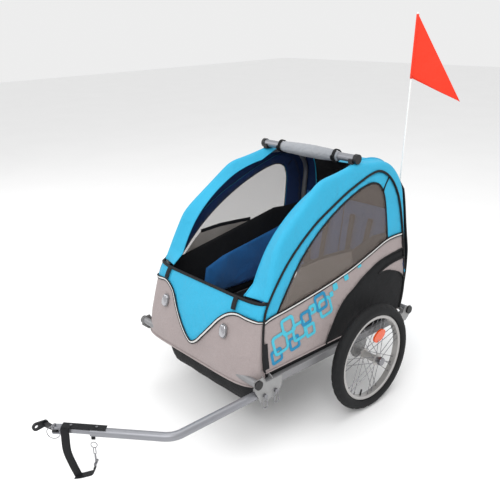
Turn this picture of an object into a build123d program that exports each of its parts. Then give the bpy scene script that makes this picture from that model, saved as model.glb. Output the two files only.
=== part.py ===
"""Two-seat child bicycle trailer: a folding steel tube frame with a fabric cabin, two 16 inch wheels and a tow bar.

Frame of the model, in millimetres: +Z is up, -Y is the direction of travel and +X is the trailer's left.
The ground is z = 0 and the origin is the middle of the footprint, between hitch eye and flag tip.
Distances along Y are given from the wheel axle, and at_y() puts them in the frame.
"""
from build123d import *
from math import atan2, cos, degrees, pi, radians, sin, tan
import os

os.makedirs("parts", exist_ok=True)

# ---------------------------------------------------------------- driving dimensions
AXLE_Y = 329.8            # the wheel axle, behind the middle of the footprint

WHEEL_R = 200.0           # 16 x 1.75 tyre
TYRE_R = 22.0             # half the tyre's width
TYRE_WALL = 3.0
WHEEL_X = 372.0           # middle plane of each wheel
RIM_R = 162.0             # bead seat
RIM_DEPTH = 13.0
RIM_WIDTH = 26.0
HUB_R = 13.0
HUB_HALF = 31.0
FLANGE_R = 22.0
FLANGE_T = 3.0
AXLE_R = 6.0
BEARING_R = 10.5
BEARING_W = 9.0
SPOKES_PER_FLANGE = 14
SPOKE_R = 1.1
RUNNING = 0.05            # radial clearance of a running fit
GAP = 0.4                 # clearance between pieces that don't touch

RAIL_X = WHEEL_X - 60.0            # middle of each side rail
RAIL_W = 20.0
RAIL_H = 28.0
RAIL_TOP = 272.0
RAIL_WALL = 2.0
RAIL_FRONT = -470.0
RAIL_REAR = 272.0
PLATE_T = 3.0
CROSS_R = 12.5            # front and rear cross tubes
CROSS_WALL = 1.5
CROSS_Z = 277.0
FRONT_CROSS_Y = -504.0
REAR_CROSS_Y = 288.0
SEAT_TUBE_R = 8.0
SEAT_TUBE_Z = 250.0

HINGE_X = RAIL_X - 17.0           # hinge line of both folding sides
LEFT_HINGE_Z = 300.0
RIGHT_HINGE_Z = 331.0     # higher, so that the right side folds down on top of the left
LEAN = radians(7.0)       # each side leans in by this from the vertical
HOOP_R = 10.0
HOOP_WALL = 1.5
FOOT_FRONT = -455.0
FOOT_REAR = 250.0
HINGE_PIN_R = 4.0
EAR_GAP = HOOP_R + 4.0    # hinge ears stand this far from a foot's middle, clear of the leaning leg
SKIN = 4.0                # thickness of the fabric solids
PANEL_OUT = HOOP_R + 0.4          # inner face of a side panel, outside the hoop's middle plane

ROOF_BAR_Y = 60.0
ROOF_BAR_Z = 895.0
ROOF_BAR_R = 14.0
ROOF_BAR_HALF = 232.0
CAP_R = 17.0
CAP_L = 8.0

TOW_R = 14.0
TOW_WALL = 2.0
TOW_X = RAIL_X - 5.5
TOW_Z = RAIL_TOP - RAIL_H - TOW_R - 2.0
TOW_TAIL_Y = -405.0
TOW_BEND = (TOW_X - 1.5, -818.0)
TOW_BEND_R = 70.0
HITCH = (49.0, -1060.5, 245.0)   # the hitch's upright pivot
TOW_LEG = 245.0           # from the bend to the open end of the tube
SHANK_R = 9.0
COUPLER_T = 6.0
COUPLER_R = 13.0
EYE_R = 5.5
EYE = (0.0, -1097.0)
TOW_PIN_R = 4.0
TOW_PIN_YS = (-478.0, -430.0)

FLAG_BASE = (204.0, 338.4, 520.0)
FLAG_TOP = (254.0, 338.4, 1368.0)
POLE_R = 3.0
FLAG_HEIGHT = 218.0
FLAG_TIP = (377.0, 450.0, 1061.0)


def at_y(y):
    """A distance from the axle, as a place along Y in the model's frame."""
    return AXLE_Y + y


def point(x, y, z):
    return Vector(x, at_y(y), z)


def save(shape, name):
    shape.label = name
    export_step(shape, f"parts/{name}.step")


def side_plane(side, hinge_z, out=0.0):
    """The leaning plane of a folding side: local x runs along Y from the axle, local y up the lean.

    The plane's normal points out of the cabin on the left and into it on the right, so `out` is
    measured along the outward direction on either side.
    """
    up = Vector(-side * sin(LEAN), 0, cos(LEAN))
    outward = Vector(side * cos(LEAN), 0, sin(LEAN))
    origin = point(side * side_x(hinge_z), 0, hinge_z) + outward * out
    return Plane(origin=origin, x_dir=Vector(0, 1, 0), z_dir=Vector(0, 1, 0).cross(up))


def up_lean(z, hinge_z):
    """Height z as a distance up the leaning plane from its hinge line."""
    return (z - hinge_z) / cos(LEAN)


def side_x(z, out=0.0):
    """Distance from the middle plane to the leaning side at height z."""
    return HINGE_X - (z - LEFT_HINGE_Z) * tan(LEAN) + out / cos(LEAN)


# ---------------------------------------------------------------- wheels
def make_wheel(name, side):
    """Tyre, rim, hub, spokes, bearings, quick-release axle and reflector, about an axis along X."""
    centre = point(side * WHEEL_X, 0, WHEEL_R)
    # local z is the wheel's axis pointing out of the trailer, local x is the radius
    section = Plane(origin=centre, x_dir=Vector(0, 0, 1), z_dir=Vector(0, side, 0))
    spin = Axis(centre, Vector(1, 0, 0))

    with BuildPart() as tyre:
        with BuildSketch(section):
            with Locations((WHEEL_R - TYRE_R, 0)):
                Circle(TYRE_R)
                Circle(TYRE_R - TYRE_WALL, mode=Mode.SUBTRACT)
            with Locations((RIM_R - TYRE_R, 0)):
                Rectangle(2 * TYRE_R, 2 * TYRE_R, mode=Mode.SUBTRACT)
        revolve(axis=spin)
    save(tyre.part, f"{name}_tyre")

    with BuildPart() as rim:
        with BuildSketch(section):
            with Locations((RIM_R - RIM_DEPTH / 2, 0)):
                RectangleRounded(RIM_DEPTH, RIM_WIDTH, 3.0)
                Rectangle(RIM_DEPTH - 4, RIM_WIDTH - 4, mode=Mode.SUBTRACT)
        revolve(axis=spin)
    save(rim.part, f"{name}_rim")

    hub_plane = Plane(origin=centre, x_dir=Vector(0, 0, 1), z_dir=Vector(side, 0, 0))
    with BuildPart() as hub:
        with BuildSketch(hub_plane):
            Circle(HUB_R)
        extrude(amount=HUB_HALF, both=True)
        for z in (-HUB_HALF, HUB_HALF - FLANGE_T):
            with BuildSketch(hub_plane.offset(z)):
                Circle(FLANGE_R)
            extrude(amount=FLANGE_T)
        with BuildSketch(hub_plane):
            Circle(AXLE_R + 1)
        extrude(amount=HUB_HALF, both=True, mode=Mode.SUBTRACT)
        for z in (-HUB_HALF, HUB_HALF - BEARING_W):
            with BuildSketch(hub_plane.offset(z)):
                Circle(BEARING_R)
            extrude(amount=BEARING_W, mode=Mode.SUBTRACT)
    save(hub.part, f"{name}_hub")

    with BuildPart() as bearings:
        for z in (-HUB_HALF, HUB_HALF - BEARING_W):
            with BuildSketch(hub_plane.offset(z)):
                Circle(BEARING_R)
                Circle(AXLE_R + RUNNING, mode=Mode.SUBTRACT)
            extrude(amount=BEARING_W)
    save(bearings.part, f"{name}_bearings")

    rim_inner = RIM_R - RIM_DEPTH
    hole_r = FLANGE_R - 3.5
    with BuildPart() as spokes:
        for end in (-1, 1):
            for i in range(SPOKES_PER_FLANGE):
                step = 360.0 / SPOKES_PER_FLANGE
                hub_angle = i * step + (step / 2 if end > 0 else 0)
                lead = 34.0 if i % 2 else -34.0
                rim_angle = hub_angle + lead
                start = spoke_point(centre, side, hole_r, hub_angle, end * (HUB_HALF - FLANGE_T / 2))
                finish = spoke_point(centre, side, rim_inner + 1.0, rim_angle, end * 2.5)
                run = finish - start
                with BuildSketch(Plane(origin=start, z_dir=run)):
                    Circle(SPOKE_R)
                extrude(amount=run.length)
    save(spokes.part, f"{name}_spokes")

    with BuildPart() as reflector:
        middle = spoke_point(centre, side, 85.0, 18.0, 12.0)
        with BuildSketch(Plane(origin=middle, x_dir=Vector(0, 1, 0.35), z_dir=Vector(side, 0, 0))):
            Ellipse(32.0, 20.0)
        extrude(amount=7.0)
    save(reflector.part, f"{name}_spoke_reflector")

    with BuildPart() as axle:
        with BuildSketch(hub_plane.offset(-AXLE_INBOARD)):
            Circle(AXLE_R)
        extrude(amount=AXLE_INBOARD + HUB_HALF + 8)
        with BuildSketch(hub_plane.offset(HUB_HALF + GAP)):
            Circle(11.0)
        extrude(amount=10.0)
        with BuildSketch(hub_plane.offset(HUB_HALF + GAP + 10.0)):
            Circle(15.0)
        extrude(amount=14.0)
        fillet(axle.edges().group_by(Axis.X)[-1 if side > 0 else 0], 4.0)
        with BuildSketch(hub_plane.offset(-HUB_HALF - GAP - 5.0)):
            Circle(10.0)
        extrude(amount=5.0)
    save(axle.part, f"{name}_axle")


AXLE_INBOARD = 76.0       # how far the stub axle reaches in from the wheel's middle plane


def spoke_point(centre, side, radius, angle, along):
    """A point on a wheel: angle in degrees from straight up, along is outboard from its middle."""
    a = radians(angle)
    return centre + Vector(side * along, radius * sin(a), radius * cos(a))


make_wheel("left", 1)
make_wheel("right", -1)

# ---------------------------------------------------------------- base frame
RAIL_Z = RAIL_TOP - RAIL_H / 2
for name, side in (("left", 1), ("right", -1)):
    with BuildPart() as rail:
        with BuildSketch(Plane(origin=point(side * RAIL_X, RAIL_FRONT, RAIL_Z), x_dir=(1, 0, 0), z_dir=(0, 1, 0))):
            RectangleRounded(RAIL_W, RAIL_H, 3.0)
            Rectangle(RAIL_W - 2 * RAIL_WALL, RAIL_H - 2 * RAIL_WALL, mode=Mode.SUBTRACT)
        extrude(amount=RAIL_REAR - RAIL_FRONT)
    save(rail.part, f"{name}_side_rail")

CROSS_HALF = RAIL_X + RAIL_W / 2 + PLATE_T
for name, y in (("front_cross_tube", FRONT_CROSS_Y), ("rear_cross_tube", REAR_CROSS_Y)):
    with BuildPart() as cross:
        with BuildSketch(Plane(origin=point(0, y, CROSS_Z), x_dir=(0, 1, 0), z_dir=(1, 0, 0))):
            Circle(CROSS_R)
            Circle(CROSS_R - CROSS_WALL, mode=Mode.SUBTRACT)
        extrude(amount=CROSS_HALF, both=True)
    save(cross.part, name)

with BuildPart() as caps:
    for y in (FRONT_CROSS_Y, REAR_CROSS_Y):
        for side in (-1, 1):
            face = Plane(origin=point(side * CROSS_HALF, y, CROSS_Z), x_dir=(0, 1, 0), z_dir=(side, 0, 0))
            with BuildSketch(face):
                Circle(CROSS_R + 3)
            extrude(amount=7.0)
            with BuildSketch(face.offset(-15.0)):
                Circle(CROSS_R - CROSS_WALL)
            extrude(amount=15.0)
save(caps.part, "cross_tube_end_caps")

SEAT_TUBE_YS = (-55.0, 225.0)
with BuildPart() as seat_tubes:
    for y in SEAT_TUBE_YS:
        with BuildSketch(Plane(origin=point(0, y, SEAT_TUBE_Z), x_dir=(0, 1, 0), z_dir=(1, 0, 0))):
            Circle(SEAT_TUBE_R)
            Circle(SEAT_TUBE_R - CROSS_WALL, mode=Mode.SUBTRACT)
        extrude(amount=RAIL_X - RAIL_W / 2, both=True)
save(seat_tubes.part, "seat_cross_tubes")

PLATE_IN = RAIL_X + RAIL_W / 2     # inner face of a corner plate, on the rail's outer face
TOW_PLATE_LOW = 205.0


def plate_outline(y_cross, y_end, low):
    """Outline of a corner plate, from its cross tube to y_end along the rail, reaching down to low."""
    toward = 1 if y_end > y_cross else -1
    outer = y_cross - toward * (CROSS_R + 3)
    return [
        (outer, CROSS_Z + 14),
        (y_cross + toward * 20, RAIL_TOP + 22),
        (y_cross + toward * 34, RAIL_TOP),
        (y_end, RAIL_TOP),
        (y_end, RAIL_TOP - RAIL_H - 6),
        (y_end - toward * 22, low),
        (y_cross + toward * 12, low),
        (outer, CROSS_Z - 16),
    ]


def corner_plate_sketch(side, y_cross, y_end, low):
    """Face of one pressed steel corner plate, with the hole for its cross tube."""
    flip = 1 if side > 0 else -1
    with BuildSketch() as face:
        with BuildLine():
            Polyline([(y, flip * z) for y, z in plate_outline(y_cross, y_end, low)], close=True)
        make_face()
        with Locations((y_cross, flip * CROSS_Z)):
            Circle(CROSS_R + 0.05, mode=Mode.SUBTRACT)
    return face.sketch


def plate_plane(side):
    """The outer face of a rail, with local x along Y from the axle."""
    return Plane(origin=point(side * PLATE_IN, 0, 0), x_dir=(0, 1, 0), z_dir=(side, 0, 0))


with BuildPart() as plates:
    for side, y_cross, y_end in ((-1, FRONT_CROSS_Y, -420.0), (1, REAR_CROSS_Y, 214.0), (-1, REAR_CROSS_Y, 214.0)):
        with BuildSketch(plate_plane(side)):
            add(corner_plate_sketch(side, y_cross, y_end, 236.0))
        extrude(amount=PLATE_T)
save(plates.part, "corner_plates")

# the left front plate comes down as the outer cheek of the tow bar's bracket
TOW_CHEEK_X = TOW_X - TOW_R - GAP - PLATE_T
with BuildPart() as tow_bracket:
    with BuildSketch(plate_plane(1)):
        add(corner_plate_sketch(1, FRONT_CROSS_Y, -400.0, TOW_PLATE_LOW))
    extrude(amount=PLATE_T)
    with BuildSketch(Plane(origin=point(TOW_CHEEK_X, 0, 0), x_dir=(0, 1, 0), z_dir=(1, 0, 0))):
        with Locations((-452.0, (RAIL_TOP - RAIL_H + TOW_PLATE_LOW) / 2)):
            Rectangle(84.0, RAIL_TOP - RAIL_H - TOW_PLATE_LOW)
    extrude(amount=PLATE_T)
    with BuildSketch(Plane(origin=point(0, -452.0, RAIL_TOP - RAIL_H), x_dir=(1, 0, 0), z_dir=(0, 0, 1))):
        with Locations(((TOW_CHEEK_X + PLATE_IN) / 2, 0)):
            Rectangle(PLATE_IN - TOW_CHEEK_X, 84.0)
    extrude(amount=-1.6)
    for y in TOW_PIN_YS:
        with BuildSketch(Plane(origin=point(TOW_X, y, TOW_Z), x_dir=(0, 1, 0), z_dir=(1, 0, 0))):
            Circle(TOW_PIN_R + RUNNING)
        extrude(amount=40.0, both=True, mode=Mode.SUBTRACT)
save(tow_bracket.part, "tow_bar_bracket")

# axle brackets: a plate down from each rail, with a socket that takes the stub axle
SOCKET_R = 10.0
SOCKET_OUT = WHEEL_X - HUB_HALF - 6.0
SOCKET_IN = WHEEL_X - AXLE_INBOARD - 4.0
with BuildPart() as axle_brackets:
    for side in (-1, 1):
        flip = 1 if side > 0 else -1
        plane = Plane(origin=point(side * (RAIL_X - RAIL_W / 2), 0, 0), x_dir=(0, 1, 0), z_dir=(side, 0, 0))
        with BuildSketch(plane):
            with BuildLine():
                Polyline(
                    [(y, flip * z) for y, z in
                     ((-38, 244), (-30, 205), (-16, 182), (16, 182), (30, 205), (38, 244))],
                    close=True,
                )
            make_face()
        extrude(amount=RAIL_W)
        socket = Plane(origin=point(side * SOCKET_IN, 0, WHEEL_R), x_dir=(0, 1, 0), z_dir=(side, 0, 0))
        with BuildSketch(socket):
            Circle(SOCKET_R)
        extrude(amount=SOCKET_OUT - SOCKET_IN)
        with BuildSketch(socket):
            Circle(AXLE_R + RUNNING)
        extrude(amount=SOCKET_OUT - SOCKET_IN, mode=Mode.SUBTRACT)
save(axle_brackets.part, "axle_brackets")

# ---------------------------------------------------------------- folding sides
with BuildPart() as hinge_brackets:
    for side, hinge_z in ((1, LEFT_HINGE_Z), (-1, RIGHT_HINGE_Z)):
        for y in (FOOT_FRONT, FOOT_REAR):
            for ear in (-1, 1):
                near = y + ear * EAR_GAP
                plane = Plane(origin=point(side * side_x(hinge_z), near, 0), x_dir=(side, 0, 0), z_dir=(0, ear, 0))
                flip = side * -ear
                with BuildSketch(plane):
                    with BuildLine():
                        Polyline(
                            [(x, flip * z) for x, z in
                             ((7, RAIL_TOP), (27, RAIL_TOP), (27, RAIL_TOP + 7), (9, RAIL_TOP + 16),
                              (9, hinge_z + 9), (-9, hinge_z + 9), (-9, hinge_z - 9))],
                            close=True,
                        )
                    make_face()
                    with Locations((0, flip * hinge_z)):
                        Circle(HINGE_PIN_R + RUNNING, mode=Mode.SUBTRACT)
                extrude(amount=PLATE_T)
save(hinge_brackets.part, "hinge_brackets")

with BuildPart() as hinge_pins:
    for side, hinge_z in ((1, LEFT_HINGE_Z), (-1, RIGHT_HINGE_Z)):
        for y in (FOOT_FRONT, FOOT_REAR):
            reach = EAR_GAP + PLATE_T
            plane = Plane(origin=point(side * side_x(hinge_z), y, hinge_z), x_dir=(1, 0, 0), z_dir=(0, 1, 0))
            with BuildSketch(plane):
                Circle(HINGE_PIN_R)
            extrude(amount=reach, both=True)
            for z in (-reach - 3.0, reach):
                with BuildSketch(plane.offset(z)):
                    Circle(HINGE_PIN_R + 2.5)
                extrude(amount=3.0)
save(hinge_pins.part, "hinge_pins")

# the hoop's middle line as (distance from the axle, height)
HOOP_LINE = [(-424, 490), (-330, 690), (-120, 838), (60, 864), (235, 850), (300, 765), (298, 520)]
HOOP_BEND_R = 110.0


def hoop_points(hinge_z):
    """The hoop's corners in its own leaning plane, from front foot to rear foot."""
    line = [(FOOT_FRONT, hinge_z)] + HOOP_LINE + [(FOOT_REAR, hinge_z)]
    return [(y, up_lean(z, hinge_z)) for y, z in line]


def local(y, z, hinge_z):
    """(y, z) on a leaning side in the side plane's own coordinates, whose y runs up the lean."""
    return (y, up_lean(z, hinge_z))


FOOT_BORE_R = HINGE_PIN_R + RUNNING


def hoop_path(side, hinge_z):
    """The bent middle line of one hoop."""
    with BuildLine(side_plane(side, hinge_z)) as path:
        FilletPolyline(hoop_points(hinge_z), radius=HOOP_BEND_R)
    return path.line


def make_hoop(name, side, hinge_z):
    path = hoop_path(side, hinge_z)
    with BuildPart() as hoop:
        with BuildSketch(Plane(origin=path @ 0, z_dir=path % 0)):
            Circle(HOOP_R)
            Circle(HOOP_R - HOOP_WALL, mode=Mode.SUBTRACT)
        sweep(path=path)
        # solid eyes at the feet, for the hinge pins
        for y in (FOOT_FRONT, FOOT_REAR):
            eye = Plane(origin=point(side * side_x(hinge_z), y, hinge_z), x_dir=(1, 0, 0), z_dir=(0, 1, 0))
            with BuildSketch(eye):
                Circle(HOOP_R - 1)
            extrude(amount=EAR_GAP - GAP, both=True)
            with BuildSketch(eye):
                Circle(FOOT_BORE_R)
            extrude(amount=EAR_GAP + 3, both=True, mode=Mode.SUBTRACT)
    save(hoop.part, f"{name}_hoop")


# outline of a side panel at its piping, from the lower front corner round to the lower rear
PANEL_LOW = 290.0
SIDE_FRONT_LOW = (-428.0, PANEL_LOW)
SIDE_OUTLINE = [(-432, 400), (-400, 506), (-297, 622), (-173, 716), (-13, 788), (110, 822), (190, 812),
                (246, 762), (276, 660), (284, 520), (270, 400)]
SIDE_REAR_LOW = (228.0, PANEL_LOW)
EAR_CLEAR_Y = FOOT_REAR - EAR_GAP - PLATE_T - 4.0    # the panel stops short of the rear hinge's ears
WINDOW = [(-352, 492), (-252, 604), (-92, 716), (70, 780), (140, 786), (184, 750), (196, 670), (196, 592)]
ARCH = [(-165, PANEL_LOW), (-137, 346), (-72, 415), (66, 478), (169, 512), (262, 520)]


def panel_sketch(hinge_z):
    """Outline of a side panel in its leaning plane's coordinates."""
    outline = [local(y, z, hinge_z) for y, z in SIDE_OUTLINE]
    with BuildSketch() as face:
        with BuildLine():
            edge = Spline(outline)
            Polyline([edge @ 1, local(EAR_CLEAR_Y, hinge_z + 18, hinge_z), local(*SIDE_REAR_LOW, hinge_z),
                      local(*SIDE_FRONT_LOW, hinge_z), edge @ 0])
        make_face()
    return face.sketch


def window_sketch(hinge_z):
    """The tinted window's outline."""
    with BuildSketch() as face:
        with BuildLine():
            arch = Spline([local(y, z, hinge_z) for y, z in WINDOW])
            Line(arch @ 1, arch @ 0)
        make_face()
    return face.sketch


def arch_sketch(hinge_z):
    """The wheel guard's area: under the arch, down to the panel's lower edge."""
    low = local(*SIDE_REAR_LOW, hinge_z)
    with BuildSketch() as face:
        with BuildLine():
            arch = Spline([local(y, z, hinge_z) for y, z in ARCH])
            Polyline([arch @ 1, (low[0] + 40, low[1]), arch @ 0])
        make_face()
    return face.sketch


def make_side_fabric(name, side, hinge_z):
    plane = side_plane(side, hinge_z, PANEL_OUT)
    way = 1 if plane.z_dir.X * side > 0 else -1      # extrude outwards on either side
    with BuildPart() as window:
        with BuildSketch(plane.offset(way * 1.0)):
            add(window_sketch(hinge_z))
        extrude(amount=way * 2.0)
    save(window.part, f"{name}_window")
    with BuildPart() as panel:
        with BuildSketch(plane):
            add(panel_sketch(hinge_z))
            add(window_sketch(hinge_z), mode=Mode.SUBTRACT)
            add(arch_sketch(hinge_z), mode=Mode.SUBTRACT)
        extrude(amount=way * SKIN)
    save(panel.part, f"{name}_side_panel")
    with BuildPart() as guard:
        with BuildSketch(plane):
            add(panel_sketch(hinge_z))
            add(arch_sketch(hinge_z), mode=Mode.INTERSECT)
        extrude(amount=way * SKIN)
    save(guard.part, f"{name}_wheel_guard")


# the roof strip's two edges, front to rear, as (distance from the axle, height)
STRIP_SEAM = [(-402, 512), (-388, 530), (-322, 606), (-252, 664), (-165, 724), (-60, 778), (50, 814),
              (130, 830), (196, 818), (252, 766), (282, 684), (290, 580)]
STRIP_EDGE = [(-441, 528), (-424, 572), (-392, 634), (-337, 712), (-238, 794), (-120, 853), (10, 876),
              (130, 878), (246, 861), (302, 800), (314, 700), (314, 580)]
STRIP_IN = 196.0          # how near the middle the strip's inner edge comes
STRIP_CLEAR = HOOP_R + 1.5        # inside of the strip over the hoop's middle line
STRIP_T = 3.0
STRIP_STEPS = 56


def strip_rings(side, hinge_z):
    """Rings round the wide shoulder of the canopy, drawn taut over the hoop from seam to opening."""
    path = hoop_path(side, hinge_z)
    seam_line = Spline([(y, z) for y, z in STRIP_SEAM])
    edge_line = Spline([(y, z) for y, z in STRIP_EDGE])
    inside = [i / 400 for i in range(401)]
    first = next(t for t in inside if (path @ t).Z > STRIP_SEAM[0][1] + 4)
    last = next(t for t in inside[::-1] if (path @ t).Z > STRIP_SEAM[-1][1])
    out = Vector(side, 0, 0)
    rings = []
    for i in range(STRIP_STEPS + 1):
        u = i / STRIP_STEPS
        t = first + (last - first) * u
        centre = path @ t
        along = Vector(0, (path % t).Y, (path % t).Z).normalized()
        away = Vector(0, -along.Z, along.Y)
        seam = seam_line @ u
        edge = edge_line @ u
        rays = [(away * 0.3 + out), (away + out * 0.5), (away - out * 0.45)]
        rays = [ray.normalized() for ray in rays]
        seam_point = point(side * side_x(seam.Y, PANEL_OUT + SKIN + 0.3), seam.X, seam.Y)
        edge_point = point(side * STRIP_IN, edge.X, edge.Y)
        inner = [seam_point] + [centre + ray * STRIP_CLEAR for ray in rays] + [edge_point - away * STRIP_T]
        outer = [seam_point + out * STRIP_T]
        outer += [centre + ray * (STRIP_CLEAR + STRIP_T) for ray in rays] + [edge_point]
        rings.append(outer + inner[::-1])
    return rings


def skinned(sections):
    """A closed solid through rings of points, with two triangles to each side patch."""
    faces = []
    rows = len(sections)
    around = len(sections[0])
    for i in range(rows - 1):
        for j in range(around):
            k = (j + 1) % around
            a, b = sections[i][j], sections[i][k]
            c, d = sections[i + 1][k], sections[i + 1][j]
            faces.append(Face(Wire.make_polygon([a, b, c], close=True)))
            faces.append(Face(Wire.make_polygon([a, c, d], close=True)))
    for ring in (sections[0], sections[-1]):
        half = around // 2
        for j in range(half - 1):
            quad = [ring[j], ring[j + 1], ring[around - 2 - j], ring[around - 1 - j]]
            faces.append(Face(Wire.make_polygon(quad[:3], close=True)))
            faces.append(Face(Wire.make_polygon([quad[0], quad[2], quad[3]], close=True)))
    return Solid(Shell(faces))


for name, side, hinge_z in (("left", 1, LEFT_HINGE_Z), ("right", -1, RIGHT_HINGE_Z)):
    make_hoop(name, side, hinge_z)
    make_side_fabric(name, side, hinge_z)
    strip = skinned(strip_rings(side, hinge_z))
    save(strip, f"{name}_roof_strip")

# ---------------------------------------------------------------- roof bar and rolled cover
with BuildPart() as roof_bar:
    with BuildSketch(Plane(origin=point(0, ROOF_BAR_Y, ROOF_BAR_Z), x_dir=(0, 1, 0), z_dir=(1, 0, 0))):
        Circle(ROOF_BAR_R)
        Circle(ROOF_BAR_R - 2, mode=Mode.SUBTRACT)
    extrude(amount=ROOF_BAR_HALF, both=True)
save(roof_bar.part, "roof_bar")

SADDLE_X = 226.0
SADDLE_W = 18.0
SADDLE_LOW = 877.6
with BuildPart() as bar_ends:
    for side in (-1, 1):
        face = Plane(origin=point(side * ROOF_BAR_HALF, ROOF_BAR_Y, ROOF_BAR_Z), x_dir=(0, 1, 0), z_dir=(side, 0, 0))
        with BuildSketch(face.offset(-6.0)):
            Circle(CAP_R)
            Circle(ROOF_BAR_R, mode=Mode.SUBTRACT)
        extrude(amount=6.0)
        with BuildSketch(face):
            Circle(CAP_R)
        extrude(amount=CAP_L)
        with BuildSketch(Plane(origin=point(side * SADDLE_X, ROOF_BAR_Y, 0), x_dir=(0, 1, 0), z_dir=(1, 0, 0))):
            with Locations((0, (SADDLE_LOW + ROOF_BAR_Z) / 2)):
                Rectangle(36.0, ROOF_BAR_Z - SADDLE_LOW)
            with Locations((0, ROOF_BAR_Z)):
                Circle(ROOF_BAR_R, mode=Mode.SUBTRACT)
        extrude(amount=-side * SADDLE_W)
save(bar_ends.part, "roof_bar_end_fittings")

ROLL_HALF = 150.0
ROLL_R = 24.0
with BuildPart() as rolled_cover:
    roll = Plane(origin=point(0, ROOF_BAR_Y, ROOF_BAR_Z), x_dir=(0, 1, 0), z_dir=(1, 0, 0))
    with BuildSketch(roll.offset(-ROLL_HALF), roll.offset(-ROLL_HALF + 60), roll.offset(ROLL_HALF - 60), roll.offset(ROLL_HALF)):
        Circle(ROLL_R)
    loft(ruled=True)
    with BuildSketch(roll):
        Circle(ROOF_BAR_R + GAP)
    extrude(amount=ROLL_HALF, both=True, mode=Mode.SUBTRACT)
save(rolled_cover.part, "rolled_front_cover")

with BuildPart() as bands:
    for x in (-ROLL_HALF + 14, ROLL_HALF - 14):
        with BuildSketch(roll.offset(x)):
            Circle(ROLL_R + 2.5)
            Circle(ROLL_R + 0.1, mode=Mode.SUBTRACT)
        extrude(amount=9.0, both=True)
save(bands.part, "cover_elastic_bands")

# ---------------------------------------------------------------- cabin fabric on the base
def slab(points, half_width, thickness):
    """A sheet as wide as twice half_width, whose section in the YZ plane follows points."""
    plane = Plane(origin=point(0, 0, 0), x_dir=(0, 1, 0), z_dir=(1, 0, 0))
    with BuildPart() as sheet:
        with BuildSketch(plane):
            with BuildLine() as line:
                Polyline(points)
            trace(line_width=thickness)
        extrude(amount=half_width, both=True)
    return sheet.part


FRONT_TOP = (-440.0, 512.0)
FRONT_LOW = (FRONT_CROSS_Y + 1.0, CROSS_Z + CROSS_R + GAP)
with BuildPart() as front_panel:
    lean = Plane(
        origin=point(0, *FRONT_LOW),
        x_dir=(1, 0, 0),
        z_dir=Vector(1, 0, 0).cross(Vector(0, FRONT_TOP[0] - FRONT_LOW[0], FRONT_TOP[1] - FRONT_LOW[1])),
    )
    rise = Vector(0, FRONT_TOP[0] - FRONT_LOW[0], FRONT_TOP[1] - FRONT_LOW[1]).length
    with BuildSketch(lean):
        with BuildLine():
            Polyline([(-292, 0), (292, 0), (300, rise), (-300, rise)], close=True)
        make_face()
    extrude(amount=-SKIN)
save(front_panel.part, "front_panel")

REFLECTOR_X = 172.0
with BuildPart() as reflectors:
    for x in (-REFLECTOR_X, REFLECTOR_X):
        with BuildSketch(lean.offset(GAP)):
            with Locations((x, 95.0)):
                RectangleRounded(30.0, 42.0, 8.0)
        extrude(amount=9.0)
save(reflectors.part, "front_reflectors")

BACK_Y = 331.0
back_line = [(ROOF_BAR_Y + 29, 868.0), (180, 867), (262, 852), (312, 800), (BACK_Y, 740), (BACK_Y, 640)]
back_low = [(BACK_Y, 690), (BACK_Y, CROSS_Z + CROSS_R + 2), (REAR_CROSS_Y + CROSS_R - 1, CROSS_Z)]
with BuildPart() as back_panel:
    add(slab(back_line, STRIP_IN - 10, STRIP_T))
    wide = slab(back_low, HINGE_X - 8, STRIP_T)
    with BuildPart(mode=Mode.PRIVATE) as trim:
        with BuildSketch(Plane(origin=point(0, REAR_CROSS_Y - 20, 0), x_dir=(1, 0, 0), z_dir=(0, -1, 0))):
            with BuildLine():
                Polyline([(-HINGE_X + 8, 270), (HINGE_X - 8, 270), (side_x(690) + 14, 690), (-side_x(690) - 14, 690)],
                         close=True)
            make_face()
        extrude(amount=-90)
    add(wide & trim.part)
    with BuildSketch(Plane(origin=point(0, REAR_CROSS_Y, CROSS_Z), x_dir=(0, 1, 0), z_dir=(1, 0, 0))):
        Circle(CROSS_R)
    extrude(amount=HINGE_X, both=True, mode=Mode.SUBTRACT)
save(back_panel.part, "back_panel")

TRAY_HALF = 250.0
TRAY_FRONT, TRAY_REAR = -470.0, -250.0
TRAY_LOW = 130.0
TRAY_TOP = 262.0
FLOOR_REAR = SEAT_TUBE_YS[0] - SEAT_TUBE_R - GAP
with BuildPart() as tray:
    with BuildSketch(Plane(origin=point(0, 0, 0), x_dir=(0, 1, 0), z_dir=(1, 0, 0))):
        with BuildLine():
            Polyline([(TRAY_FRONT, TRAY_TOP), (TRAY_FRONT + 12, TRAY_LOW), (TRAY_REAR - 80, TRAY_LOW),
                      (TRAY_REAR, 200), (TRAY_REAR, TRAY_TOP)], close=True)
        make_face()
    extrude(amount=TRAY_HALF, both=True)
    top = tray.faces().sort_by(Axis.Z)[-1]
    offset(amount=-SKIN, openings=top)
    # cabin floor round the well, out to the rails and the front cross tube
    floor_front = FRONT_CROSS_Y + CROSS_R + GAP
    with BuildSketch(Plane(origin=point(0, 0, TRAY_TOP - SKIN))):
        with Locations((0, (floor_front + FLOOR_REAR) / 2)):
            Rectangle(2 * (RAIL_X - RAIL_W / 2 - GAP), FLOOR_REAR - floor_front)
        with Locations((0, (TRAY_FRONT + TRAY_REAR) / 2)):
            Rectangle(2 * TRAY_HALF - 2 * SKIN, TRAY_REAR - TRAY_FRONT - 2 * SKIN, mode=Mode.SUBTRACT)
    extrude(amount=SKIN)
save(tray.part, "footwell_tray")

SEAT_HALF = 262.0
SEAT_T = 24.0
SEAT_LOW = SEAT_TUBE_Z + SEAT_TUBE_R + 0.3
with BuildPart() as seat_base:
    with BuildSketch(Plane(origin=point(0, 85.0, SEAT_LOW))):
        RectangleRounded(2 * SEAT_HALF, 296.0, 18.0)
    extrude(amount=SEAT_T)
save(seat_base.part, "seat_base")

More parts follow.
